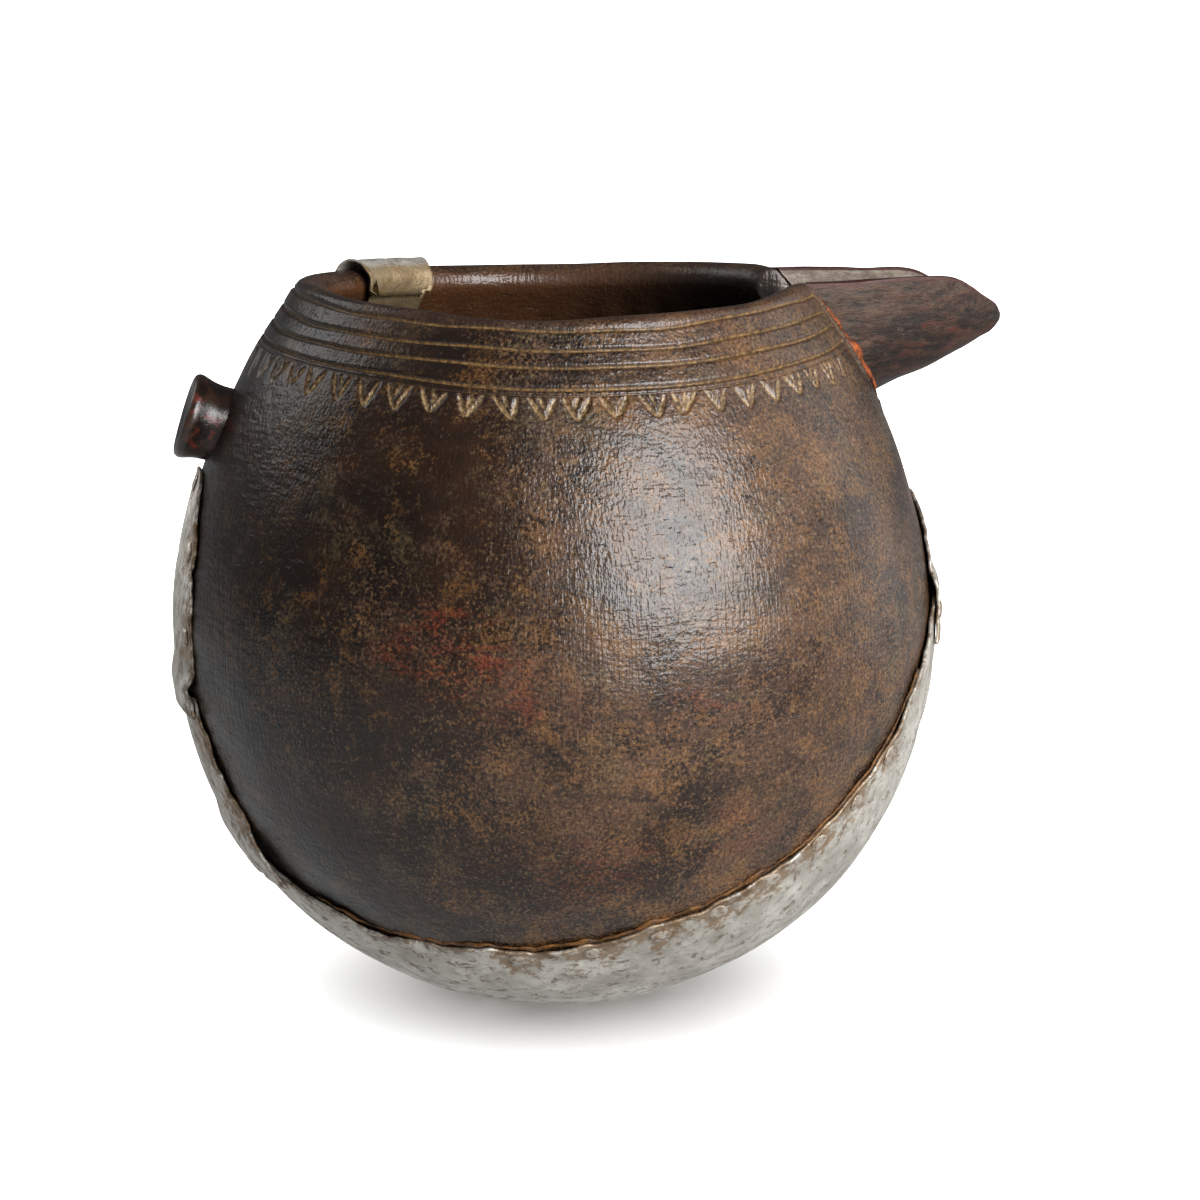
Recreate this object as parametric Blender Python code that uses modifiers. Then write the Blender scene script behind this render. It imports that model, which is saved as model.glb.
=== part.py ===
"""A hand-carved wooden pouring vessel, mended with sheet aluminium.

Metres, +Z up. The origin is the middle of the flat foot, on the ground, and
the spout points along +X. Azimuths are measured from the spout, and polar
angles from the foot, about the middle of the belly.
"""

import math

import bmesh
import bpy
from mathutils import Matrix, Vector

# Wooden body: two superellipse halves that meet at the belly.
BELLY_RADIUS = 0.0988
CENTRE_HEIGHT = 0.102
BELOW_HEIGHT = 0.1022
ABOVE_HEIGHT = 0.1265
LOW_POWER = 2.1
HIGH_POWER = 1.73
BODY_STEPS = 48

# Hollow inside the body.
HOLLOW_RADIUS = 0.0903
HOLLOW_BELOW = 0.090
HOLLOW_ABOVE = 0.1173

# Rounded lip, an ellipse across the end of the leaning wall.
LIP_RADIUS = 0.0631
LIP_HEIGHT = 0.18375
LIP_ACROSS = 0.0040
LIP_ALONG = 0.0029
WALL_LEAN = math.radians(31)
RIM_DIP = 0.0022
DIP_START = 0.140

# Turned grooves round the neck.
GROOVE_HEIGHTS = (0.1849, 0.1813, 0.1776, 0.1737)
GROOVE_HALF = 0.0006
GROOVE_DEPTH = 0.0007

# Sheet metal. Touching pieces keep a small gap.
SHEET = 0.0008
WOOD_GAP = 0.0007
LAP_LIFT = 0.00125
TOUCH_GAP = 0.0003
BOTTOM_RINGS = 10
WOOD_FOOT = SHEET + WOOD_GAP

# Nails.
NAIL_HEAD_RADIUS = 0.0024
NAIL_HEAD_HEIGHT = 0.0007
NAIL_SHANK_RADIUS = 0.0009
NAIL_DEPTH = 0.0065
NAIL_SIDES = 6

# Spout: stations along X with half width, top height and keel height.
SPOUT_STATIONS = (
    (0.058, 0.0215, 0.1885, 0.150),
    (0.066, 0.0208, 0.1885, 0.1525),
    (0.078, 0.0180, 0.1887, 0.1565),
    (0.090, 0.0150, 0.1888, 0.1618),
    (0.100, 0.0124, 0.1882, 0.1665),
    (0.109, 0.0074, 0.1835, 0.1705),
    (0.1185, 0.0012, 0.1775, 0.1750),
)
TROUGH_STATIONS = (
    (0.050, 0.0170, 0.196, 0.1755),
    (0.066, 0.0165, 0.196, 0.1760),
    (0.078, 0.0142, 0.196, 0.1764),
    (0.090, 0.0112, 0.196, 0.1768),
    (0.100, 0.0086, 0.196, 0.1770),
    (0.109, 0.0050, 0.196, 0.1772),
    (0.121, 0.0010, 0.196, 0.1774),
)
SECTION_POINTS = 13
SPOUT_POWER = 2.3

# Lug: a waisted peg, square to the leaning wall.
LUG_FACE = Vector((-0.0958, 0.0, 0.1555))
LUG_RISE = math.radians(18)
LUG_PROFILE = ((0.0, 0.0104), (0.0012, 0.0111), (0.005, 0.0104), (0.010, 0.0099), (0.019, 0.0103))
LUG_TENON_RADIUS = 0.006
LUG_TENON_END = 0.0175
LUG_SIDES = 24

# Rim clip: a strip folded over the lip.
CLIP_AZIMUTH = 129.7
CLIP_HALF_ANGLE = 13.8
CLIP_INNER_DROP = 0.030
CLIP_OUTER_DROP = 0.014

# Pitch seals.
PITCH_RADIUS = 0.0006
SPOUT_SEAL_RADIUS = 0.0012


def superellipse(polar, radius, below, above):
    """Distance from the middle of the belly to a wall, at a polar angle in radians."""
    power, height = (LOW_POWER, below) if polar < math.pi / 2 else (HIGH_POWER, above)
    across = abs(math.sin(polar)) / radius
    along = abs(math.cos(polar)) / height
    return (across**power + along**power) ** (-1 / power)


def outer_wall(polar, outset=0.0):
    """(radius, height) of the wood's outer face, or of a face set out from it."""
    reach = superellipse(polar, BELLY_RADIUS, BELOW_HEIGHT, ABOVE_HEIGHT) + outset
    height = CENTRE_HEIGHT - reach * math.cos(polar)
    return reach * math.sin(polar), max(height, WOOD_FOOT - outset)


def inner_wall(polar):
    reach = superellipse(polar, HOLLOW_RADIUS, HOLLOW_BELOW, HOLLOW_ABOVE)
    return reach * math.sin(polar), CENTRE_HEIGHT - reach * math.cos(polar)


def wall_radius(height, outset=0.0):
    """Radius of the wood's outer face at a height above the ground."""
    low, high = 0.0, math.pi * 0.95
    for _ in range(40):
        middle = (low + high) / 2
        if outer_wall(middle, outset)[1] < height:
            low = middle
        else:
            high = middle
    return outer_wall(low, outset)[0]


def around(radius, height, azimuth):
    """Point at a radius, a height and an azimuth in degrees."""
    turn = math.radians(azimuth)
    return Vector((radius * math.cos(turn), radius * math.sin(turn), height))


def on_wall(azimuth, polar, outset):
    """Point set out from the wood, at an azimuth and a polar angle in degrees."""
    return around(*outer_wall(math.radians(polar), outset), azimuth)


def rim_dip(point):
    """How far the carver's saddle lowers the neck at a point: most at the front and back."""
    rise = min(max((point.z - DIP_START) / (LIP_HEIGHT - DIP_START), 0.0), 1.0)
    across = point.y**2 / max(point.x**2 + point.y**2, 1e-12)
    return RIM_DIP * across * rise * rise * (3 - 2 * rise)


def wood(name, colour, roughness):
    return material(name, colour, roughness, 0.0)


def material(name, colour, roughness, metallic):
    made = bpy.data.materials.new(name)
    made.use_nodes = True
    shader = made.node_tree.nodes["Principled BSDF"]
    shader.inputs["Base Color"].default_value = (*colour, 1.0)
    shader.inputs["Roughness"].default_value = roughness
    shader.inputs["Metallic"].default_value = metallic
    made.diffuse_color = (*colour, 1.0)
    return made


def clear_scene():
    for old in list(bpy.data.objects):
        bpy.data.objects.remove(old)


def collection(name):
    made = bpy.data.collections.new(name)
    bpy.context.scene.collection.children.link(made)
    return made


def object_from(name, made_bmesh, where, surface=None):
    """A new object from a bmesh, shaded smooth with its sharp edges kept."""
    mesh = bpy.data.meshes.new(name)
    made_bmesh.to_mesh(mesh)
    made_bmesh.free()
    mesh.shade_smooth()
    mesh.set_sharp_from_angle(angle=math.radians(35))
    if surface:
        mesh.materials.append(surface)
    made = bpy.data.objects.new(name, mesh)
    where.objects.link(made)
    return made


def as_cutter(made):
    made.hide_render = True
    made.display_type = "WIRE"
    return made


def cut(target, cutter, operation="DIFFERENCE"):
    boolean = target.modifiers.new(cutter.name, "BOOLEAN")
    boolean.operation = operation
    boolean.solver = "EXACT"
    boolean.object = cutter


def turned(name, profile, where, surface=None, steps=BODY_STEPS, dipped=False):
    """A turned solid from (radius, height) points that run up the inside and down the outside."""
    spun = bmesh.new()
    points = [spun.verts.new((radius, 0.0, height)) for radius, height in profile]
    edges = [spun.edges.new(pair) for pair in zip(points, points[1:])]
    bmesh.ops.spin(
        spun,
        geom=points + edges,
        cent=(0, 0, 0),
        axis=(0, 0, 1),
        angle=math.tau,
        steps=steps,
        use_merge=True,
    )
    bmesh.ops.remove_doubles(spun, verts=spun.verts, dist=1e-6)
    bmesh.ops.recalc_face_normals(spun, faces=spun.faces)
    if dipped:
        for vertex in spun.verts:
            vertex.co.z -= rim_dip(vertex.co)
    return object_from(name, spun, where, surface)


def body_profile():
    """Up the hollow, over the lip and down the outside, with the neck grooves cut in."""
    lip_polar = math.atan2(LIP_RADIUS, CENTRE_HEIGHT - LIP_HEIGHT)
    inside = [inner_wall(lip_polar * step / 11) for step in range(11)]
    inside[0] = (0.0, inside[0][1])
    normal = Vector((math.cos(WALL_LEAN), math.sin(WALL_LEAN)))
    along = Vector((-math.sin(WALL_LEAN), math.cos(WALL_LEAN)))
    lip = []
    for step in range(7):
        turn = math.pi * (1 - step / 6)
        offset = LIP_ACROSS * math.cos(turn) * normal + LIP_ALONG * math.sin(turn) * along
        lip.append((LIP_RADIUS + offset.x, LIP_HEIGHT + offset.y))
    grooves = []
    for height in GROOVE_HEIGHTS:
        grooves.append((wall_radius(height + GROOVE_HALF), height + GROOVE_HALF))
        grooves.append((wall_radius(height) - GROOVE_DEPTH, height))
        grooves.append((wall_radius(height - GROOVE_HALF), height - GROOVE_HALF))
    foot_polar = math.radians(11)
    neck_polar = math.radians(129)
    outside = []
    for step in range(15):
        polar = neck_polar + (foot_polar - neck_polar) * step / 14
        outside.append(outer_wall(polar))
    return inside + lip + grooves + outside + [(0.0, WOOD_FOOT)]


def clearance_body(where):
    """The body's outer shape, a touching gap larger, carried on past the lip."""
    profile = [(0.0, 0.197)]
    for step in range(29):
        polar = math.radians(150 - 5 * step)
        radius, height = outer_wall(polar, TOUCH_GAP)
        if height < 0.197:
            profile.append((radius, height))
    profile[1] = (wall_radius(0.197, TOUCH_GAP), 0.197)
    profile.append((0.0, profile[-1][1]))
    return as_cutter(turned("body_clearance", profile, where))


def gutter_section(station, outset=0.0):
    """Points down one side of a U section, under its keel and up the other side."""
    x, half_width, top, keel = station
    points = []
    for step in range(SECTION_POINTS):
        turn = math.pi * step / (SECTION_POINTS - 1)
        across = math.copysign(abs(math.cos(turn)) ** (2 / SPOUT_POWER), math.cos(turn))
        down = math.sin(turn) ** (2 / SPOUT_POWER)
        points.append(
            Vector((x, across * (half_width + outset), top - down * (top - keel + outset)))
        )
    return points


def loft(name, sections, where, surface=None):
    """A solid skinned over a row of sections with equal point counts, capped at both ends."""
    skin = bmesh.new()
    rings = [[skin.verts.new(point) for point in section] for section in sections]
    for ring, following in zip(rings, rings[1:]):
        for place in range(len(ring)):
            after = (place + 1) % len(ring)
            skin.faces.new((ring[place], ring[after], following[after], following[place]))
    skin.faces.new(rings[0])
    skin.faces.new(rings[-1])
    bmesh.ops.recalc_face_normals(skin, faces=skin.faces)
    return object_from(name, skin, where, surface)


def sheet_from_rows(name, rows, where, surface, closed=False, pole=None):
    """An open sheet through rows of points, thickened outwards by the sheet's gauge."""
    skin = bmesh.new()
    grid = [[skin.verts.new(point) for point in row] for row in rows]
    count = len(grid[0])
    for row, following in zip(grid, grid[1:]):
        for place in range(count if closed else count - 1):
            after = (place + 1) % count
            skin.faces.new((row[place], row[after], following[after], following[place]))
    if pole is not None:
        middle = skin.verts.new(pole)
        for place in range(count):
            skin.faces.new((middle, grid[0][(place + 1) % count], grid[0][place]))
    made = object_from(name, skin, where, surface)
    solidify = made.modifiers.new("gauge", "SOLIDIFY")
    solidify.thickness = SHEET
    solidify.offset = 1.0
    solidify.use_even_offset = True
    return made


def bottom_edge(azimuth):
    """Polar angle of the bottom sheet's upper edge: a tongue at the spout, a rise at the lug."""
    from_spout = abs((azimuth + 180) % 360 - 180)
    tongue = 61 * math.exp(-((from_spout / 50) ** 1.6))
    rise = 15 * math.exp(-(((180 - from_spout) / 38) ** 2))
    return min(44 + tongue + rise, 93.5)


def bottom_sheet(where, surface):
    """Sheet over the foot and lower bowl, from a flat foot out to a wandering edge."""
    foot_polar = 10.5
    rows = []
    for ring in range(BOTTOM_RINGS + 1):
        share = ring / BOTTOM_RINGS
        row = []
        for step in range(BODY_STEPS):
            azimuth = 360 * step / BODY_STEPS
            polar = foot_polar + (bottom_edge(azimuth) - foot_polar) * share
            row.append(on_wall(azimuth, polar, WOOD_GAP))
        rows.append(row)
    foot = Vector((0, 0, WOOD_FOOT - WOOD_GAP))
    return sheet_from_rows("bottom_sheet", rows, where, surface, closed=True, pole=foot)


def strap(name, azimuth, polars, half_angle, lift, where, surface, columns=7):
    """A strap up the wall, with a half angle and a lift over other sheets at each polar angle."""
    rows = []
    for polar in polars:
        outset = WOOD_GAP + lift(polar)
        row = []
        for column in range(columns):
            side = 2 * column / (columns - 1) - 1
            row.append(on_wall(azimuth + side * half_angle(polar), polar, outset))
        rows.append(row)
    return sheet_from_rows(name, rows, where, surface)


def eased(value, start, end):
    """0 before start and 1 after end, with a smooth step between them."""
    share = min(max((value - start) / (end - start), 0.0), 1.0)
    return share * share * (3 - 2 * share)


def spread(first, last, count):
    return [first + (last - first) * step / (count - 1) for step in range(count)]


def lug_lower_half_angle(polar):
    return 14.8 + 0.43 * (80.8 - polar)


def lug_upper_half_angle(polar):
    taper = max(polar - 86, 0) / 27.5
    return 15.4 * math.sqrt(max(1 - taper**2, 0.02))


def spout_strap_half_angle(polar):
    taper = max(polar - 86, 0) / 21
    return 21 * math.sqrt(max(1 - taper**2, 0.03))


def rim_clip(where, surface):
    """A strip folded over the lip, with a long flange inside and a short one outside."""
    gap = TOUCH_GAP + WOOD_GAP
    normal = Vector((math.cos(WALL_LEAN), math.sin(WALL_LEAN)))
    along = Vector((-math.sin(WALL_LEAN), math.cos(WALL_LEAN)))
    path = []
    for drop in spread(CLIP_INNER_DROP, 0.004, 5):
        height = LIP_HEIGHT - drop
        polar = math.pi / 2
        while inner_wall(polar)[1] < height:
            polar += 0.002
        path.append((inner_wall(polar)[0] - gap, height))
    for step in range(7):
        turn = math.pi * (1 - step / 6)
        offset = (LIP_ACROSS + gap) * math.cos(turn) * normal
        offset += (LIP_ALONG + gap) * math.sin(turn) * along
        path.append((LIP_RADIUS + offset.x, LIP_HEIGHT + offset.y))
    for drop in spread(0.003, CLIP_OUTER_DROP, 3):
        height = LIP_HEIGHT - drop
        path.append((wall_radius(height, gap), height))
    rows = []
    for radius, height in path:
        row = []
        for azimuth in spread(CLIP_AZIMUTH - CLIP_HALF_ANGLE, CLIP_AZIMUTH + CLIP_HALF_ANGLE, 7):
            point = around(radius, height, azimuth)
            point.z -= rim_dip(point)
            row.append(point)
        rows.append(row)
    return sheet_from_rows("rim_clip", [row[::-1] for row in rows], where, surface)


def frame_at(origin, outward):
    """A matrix whose Z axis leaves the wall."""
    return Matrix.Translation(origin) @ outward.to_track_quat("Z", "Y").to_matrix().to_4x4()


def wall_normal(azimuth, polar):
    ahead = on_wall(azimuth, polar + 0.5, 0.0) - on_wall(azimuth, polar - 0.5, 0.0)
    aside = on_wall(azimuth + 0.5, polar, 0.0) - on_wall(azimuth - 0.5, polar, 0.0)
    return aside.cross(ahead).normalized()


def nail_seats():
    """(azimuth, polar angle, outset of the face the head sits on) of every nail."""
    single = WOOD_GAP + SHEET
    double = single + LAP_LIFT
    seats = []
    for azimuth in (-105, -91, -79, -69, -60, -52, -45, -38, 40, 50, 61, 74, 88, 103):
        seats.append((azimuth, bottom_edge(azimuth) - 2.2, single))
    for side in (-1, 1):
        for polar in (64, 74):
            seats.append((180 + side * (lug_lower_half_angle(polar) - 2.6), polar, single))
        for polar in (90, 102):
            seats.append((180 + side * (lug_upper_half_angle(polar) - 2.6), polar, single))
        seats.append((side * 15, 91, double))
    seats.append((180, 111, single))
    seats.append((0, 102, single))
    return seats


def nail(name, seat, where, surface):
    """A domed head on a plain shank, driven square to the wall."""
    azimuth, polar, outset = seat
    seat_height = outset + TOUCH_GAP
    profile = (
        (0.0, NAIL_HEAD_HEIGHT),
        (NAIL_HEAD_RADIUS * 0.6, NAIL_HEAD_HEIGHT * 0.85),
        (NAIL_HEAD_RADIUS, NAIL_HEAD_HEIGHT * 0.3),
        (NAIL_HEAD_RADIUS, 0.0),
        (NAIL_SHANK_RADIUS, 0.0),
        (NAIL_SHANK_RADIUS, -NAIL_DEPTH),
        (0.0, -NAIL_DEPTH - NAIL_SHANK_RADIUS),
    )
    made = turned(name, profile, where, surface, steps=NAIL_SIDES)
    outward = wall_normal(azimuth, polar)
    made.matrix_world = frame_at(on_wall(azimuth, polar, 0.0) + outward * seat_height, outward)
    return made


def nail_holes(seats, where):
    """One cutter that holds the clearance hole of every nail."""
    holes = bmesh.new()
    length = 0.012
    for azimuth, polar, outset in seats:
        outward = wall_normal(azimuth, polar)
        middle = on_wall(azimuth, polar, 0.0) + outward * (outset + 0.003 - length / 2)
        bmesh.ops.create_cone(
            holes,
            cap_ends=True,
            segments=NAIL_SIDES,
            radius1=NAIL_SHANK_RADIUS + TOUCH_GAP,
            radius2=NAIL_SHANK_RADIUS + TOUCH_GAP,
            depth=length,
            matrix=frame_at(middle, outward),
        )
    return as_cutter(object_from("nail_holes", holes, where))


def bead(name, points, radius, where, surface):
    """A thin bead of pitch along a row of points."""
    curve = bpy.data.curves.new(name, "CURVE")
    curve.dimensions = "3D"
    curve.bevel_depth = radius
    curve.bevel_resolution = 1
    curve.use_fill_caps = True
    spline = curve.splines.new("POLY")
    spline.points.add(len(points) - 1)
    for place, point in zip(spline.points, points):
        place.co = (*point, 1.0)
    curve.materials.append(surface)
    made = bpy.data.objects.new(name, curve)
    where.objects.link(made)
    return made


def edge_bead_points(side):
    """Along the bottom sheet's edge, between the spout tongue and the lug strap."""
    outset = TOUCH_GAP + PITCH_RADIUS
    step_off = math.degrees((2 * TOUCH_GAP + PITCH_RADIUS) / BELLY_RADIUS) * 1.6
    points = []
    for step in range(31):
        azimuth = 30 + (146 - 30) * step / 30
        points.append(on_wall(side * azimuth, bottom_edge(azimuth) + step_off, outset))
    return points


def spout_half_width(x):
    for before, after in zip(SPOUT_STATIONS, SPOUT_STATIONS[1:]):
        if x <= after[0]:
            share = (x - before[0]) / (after[0] - before[0])
            return tuple(a + (b - a) * share for a, b in zip(before, after))
    return SPOUT_STATIONS[-1]


def spout_seal_points():
    """Along the corner between the spout's outside and the neck, held off both."""
    stand_off = SPOUT_SEAL_RADIUS + TOUCH_GAP
    points = []
    for place in range(SECTION_POINTS):
        low, high = 0.058, 0.105
        for _ in range(30):
            x = (low + high) / 2
            point = gutter_section(spout_half_width(x), stand_off)[place]
            if math.hypot(point.x, point.y) < wall_radius(point.z, stand_off):
                low = x
            else:
                high = x
        points.append(point)
    return points


def lug(where, helpers, clearance, surface):
    """The waisted peg, scooped to the wall, with its tenon in a socket."""
    inward = Vector((math.cos(LUG_RISE), 0.0, -math.sin(LUG_RISE)))
    place = frame_at(LUG_FACE, inward)
    profile = [(0.0, LUG_PROFILE[-1][0])]
    profile += [(radius, depth) for depth, radius in reversed(LUG_PROFILE)]
    profile.append((0.0, 0.0))
    made = turned("lug", profile, where, surface, steps=LUG_SIDES)
    made.matrix_world = place
    cut(made, clearance)
    tenon = peg("lug_tenon", LUG_TENON_RADIUS, 0.004, LUG_TENON_END, place, helpers)
    cut(made, tenon, "UNION")
    deeper = LUG_TENON_END + TOUCH_GAP
    return made, peg("lug_socket", LUG_TENON_RADIUS + TOUCH_GAP, 0.004, deeper, place, helpers)


def peg(name, radius, start, end, place, where):
    """A plain round helper between two depths along a frame's Z axis."""
    made = turned(name, [(0, end), (radius, end), (radius, start), (0, start)], where, steps=16)
    made.matrix_world = place
    return as_cutter(made)


def main():
    clear_scene()
    vessel = collection("mended_pouring_vessel")
    helpers = collection("cutters")
    dark_wood = wood("patinated_wood", (0.10, 0.052, 0.028), 0.42)
    red_wood = wood("reddish_wood", (0.11, 0.042, 0.030), 0.45)
    aluminium = material("aluminium_sheet", (0.62, 0.60, 0.56), 0.42, 1.0)
    pitch = material("brown_pitch", (0.22, 0.075, 0.015), 0.55, 0.0)

    seats = nail_seats()
    holes = nail_holes(seats, helpers)
    clearance = clearance_body(helpers)
    trough = loft("trough", [gutter_section(s) for s in TROUGH_STATIONS], helpers)
    as_cutter(trough)

    body = turned("vessel_body", body_profile(), vessel, dark_wood, dipped=True)
    spout = loft("spout", [gutter_section(s) for s in SPOUT_STATIONS], vessel, red_wood)
    cut(spout, clearance)
    cut(spout, trough)
    _, socket = lug(vessel, helpers, clearance, dark_wood)
    for cutter in (trough, socket, holes):
        cut(body, cutter)

    def over_bottom(polar):
        return LAP_LIFT * (1 - eased(polar, 59, 63))

    def over_lower(polar):
        return LAP_LIFT * (1 - eased(polar, 82, 86))

    def over_tongue(polar):
        return LAP_LIFT * (1 - eased(polar, 94.5, 98))

    sheets = [
        bottom_sheet(vessel, aluminium),
        strap(
            "lug_strap_lower",
            180,
            spread(53, 81, 11),
            lug_lower_half_angle,
            over_bottom,
            vessel,
            aluminium,
        ),
        strap(
            "lug_strap_upper",
            180,
            spread(78.5, 113, 13),
            lug_upper_half_angle,
            over_lower,
            vessel,
            aluminium,
        ),
        strap(
            "spout_strap",
            0,
            spread(87, 107, 10),
            spout_strap_half_angle,
            over_tongue,
            vessel,
            aluminium,
        ),
    ]
    for sheet in sheets:
        cut(sheet, holes)
    rim_clip(vessel, aluminium)

    for number, seat in enumerate(seats, 1):
        nail(f"nail_{number:02d}", seat, vessel, aluminium)
    bead("pitch_seal_front", edge_bead_points(-1), PITCH_RADIUS, vessel, pitch)
    bead("pitch_seal_back", edge_bead_points(1), PITCH_RADIUS, vessel, pitch)
    bead("spout_seal", spout_seal_points(), SPOUT_SEAL_RADIUS, vessel, pitch)


main()
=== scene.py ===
"""Looks of a hand-carved wooden pouring vessel, mended with sheet aluminium.

Metres, +Z up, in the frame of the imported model: the spout points along +X and
the origin is the middle of the foot. Azimuths are in degrees from the spout,
polar angles in degrees from the foot, about the middle of the belly.
"""

import math

import bpy
import numpy as np
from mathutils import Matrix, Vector


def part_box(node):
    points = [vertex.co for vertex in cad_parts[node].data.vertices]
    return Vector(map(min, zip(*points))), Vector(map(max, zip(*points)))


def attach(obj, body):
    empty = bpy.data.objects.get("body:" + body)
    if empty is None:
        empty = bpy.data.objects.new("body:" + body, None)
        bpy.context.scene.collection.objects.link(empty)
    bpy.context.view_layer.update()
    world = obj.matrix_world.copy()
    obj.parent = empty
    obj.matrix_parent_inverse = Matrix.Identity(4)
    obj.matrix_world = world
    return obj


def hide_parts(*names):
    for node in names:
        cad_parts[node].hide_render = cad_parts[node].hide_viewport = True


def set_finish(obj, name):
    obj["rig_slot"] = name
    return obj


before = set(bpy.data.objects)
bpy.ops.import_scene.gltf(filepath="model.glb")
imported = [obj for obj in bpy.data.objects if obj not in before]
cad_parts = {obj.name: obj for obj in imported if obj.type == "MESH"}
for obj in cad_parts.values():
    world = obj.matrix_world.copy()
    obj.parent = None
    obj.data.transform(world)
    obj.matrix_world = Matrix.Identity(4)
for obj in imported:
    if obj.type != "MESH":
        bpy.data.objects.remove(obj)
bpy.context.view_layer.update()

# Outer wall of the wood: two half superellipses that meet at the widest place.
wood_low, wood_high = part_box("vessel_body")
BELLY_RADIUS = wood_high.y
WOOD_FOOT = wood_low.z
CENTRE_HEIGHT = 0.102
BELOW_HEIGHT = 0.1022
ABOVE_HEIGHT = 0.1265
LOW_POWER = 2.1
HIGH_POWER = 1.73

# Hollow, and the rounded lip that joins it to the outer wall.
HOLLOW_RADIUS = 0.0903
HOLLOW_BELOW = 0.090
HOLLOW_ABOVE = 0.1173
LIP_RADIUS = 0.0631
LIP_HEIGHT = 0.18375
LIP_ACROSS = 0.0040
LIP_ALONG = 0.0029
LIP_INNER_RADIUS = 0.05967
LIP_INNER_HEIGHT = 0.18169
WALL_LEAN = math.radians(31)

# The rim dips at the front and the back, (azimuth, width), and the neck swells between.
FRONT_DIP = (-100, 38)
BACK_DIP = (98, 44)
RIM_DIP = 0.0022
DIP_START = 0.140
NECK_SWELL = 0.0012
NECK_START = 0.150
NECK_RISE = 0.018
LIP_SWELL = 0.0009

# Neck: five rings cut with a knife, and a row of notches under the lowest.
RING_HEIGHTS = (0.1725, 0.1740, 0.1776, 0.1813, 0.1850)
RING_SAG = (0.0016, 0.0016, 0.0, 0.0, 0.0)
RING_HALF = (0.00045, 0.00066, 0.00066, 0.00066, 0.00066)
RING_DEPTH = (0.0004, 0.0008, 0.0008, 0.0008, 0.0007)
RING_SEAM_OFFSET = (0.0079, 0.0070, 0.0054, 0.0040, 0.0026)
RING_BLEND = 0.0016
NOTCH_RADIUS = 0.078
NOTCH_START = 29.0
NOTCH_SPACING = 6.6
NOTCH_TOP = -0.0003
NOTCH_DEPTH = 0.00085
WALL_SLOPE = 1.3

# A raised ridge of wood round the spout, and the narrow gutter inside it: (place, width).
RIDGE = (0.0019, 0.0009)
RIDGE_HEIGHT = 0.00055
GUTTER = (0.0004, 0.0006)
GUTTER_DEPTH = 0.0006

# Rubbed places where the wood shows red: (azimuth, height, width, tall, strength).
RED_PATCHES = (
    (-114, 0.118, 6, 0.0045, 1.0),
    (-120, 0.110, 6, 0.0035, 0.7),
    (-109, 0.108, 8, 0.0060, 1.0),
    (-101, 0.099, 6, 0.0050, 0.7),
    (-92, 0.056, 14, 0.0080, 0.45),
    (-75, 0.098, 9, 0.0050, 0.55),
    (-70, 0.064, 9, 0.0060, 0.40),
    (40, 0.085, 16, 0.0120, 0.8),
    (118, 0.070, 14, 0.0100, 0.6),
    (80, 0.125, 12, 0.0090, 0.5),
)

# Mesh of the body: columns, crowded towards the spout, and the heights where they double.
FINE_COLUMNS = 1200
CROWDING = 1.3
CROWD_WIDTH = 34
FIRST_POLAR = 11
COARSE_END = 0.1620
HALF_ROWS = (0.1632, 0.1643)
FINE_START = 0.1652
FINE_END = 0.1721
NECK_END = 0.1855
CLOSEST_ROWS = 0.00018

# Bottom sheet: its edge's polar angle, with a tongue at the spout and a rise at the lug.
SHEET_EDGE = 44
TONGUE_RISE = 61
TONGUE_WIDTH = 50
LUG_SIDE_RISE = 15
LUG_SIDE_WIDTH = 38
HIGHEST_EDGE = 93.5
SHEET_START = 10.5

# Nails: azimuths along the bottom sheet's edge, and how far they sit in from an edge.
EDGE_NAILS = (-105, -91, -79, -69, -60, -52, -45, -38, 40, 50, 61, 74, 88, 103)
EDGE_NAIL_INSET = 2.2
STRAP_NAIL_INSET = 2.6

# Sheet metal, and the strip of it that is folded over the lip.
SHEET = 0.0008
WOOD_GAP = 0.0007
LAP_LIFT = 0.00125
CLIP_AZIMUTH = 129.7
CLIP_HALF_ANGLE = 12.2
CLIP_GAP = 0.0009
CLIP_CROWN = 0.0014
CLIP_INSIDE = 0.030
CLIP_OUTSIDE = 0.014

# Lug: the middle of its face, its rise, and its turned profile as (depth, radius).
LUG_FACE = Vector((-0.0958, 0.0, 0.1555))
LUG_RISE = math.radians(18)
LUG_PROFILE = (
    (0.0012, 0.0),
    (0.0009, 0.0045),
    (0.0002, 0.0085),
    (0.0, 0.0098),
    (0.0004, 0.0106),
    (0.0014, 0.0111),
    (0.0028, 0.0109),
    (0.0048, 0.0103),
    (0.0075, 0.0099),
    (0.0105, 0.0099),
    (0.0140, 0.0101),
    (0.0190, 0.0105),
)

# Nail: (radius, height) from the middle of its head to the tip of its shank.
NAIL_PROFILE = (
    (0.00002, 0.00052),
    (0.0008, 0.00050),
    (0.0014, 0.00044),
    (0.0019, 0.00034),
    (0.0023, 0.00018),
    (0.0025, 0.00002),
    (0.0024, -0.0001),
    (0.0009, -0.0002),
    (0.0009, -0.0035),
    (0.0002, -0.0050),
)

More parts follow.
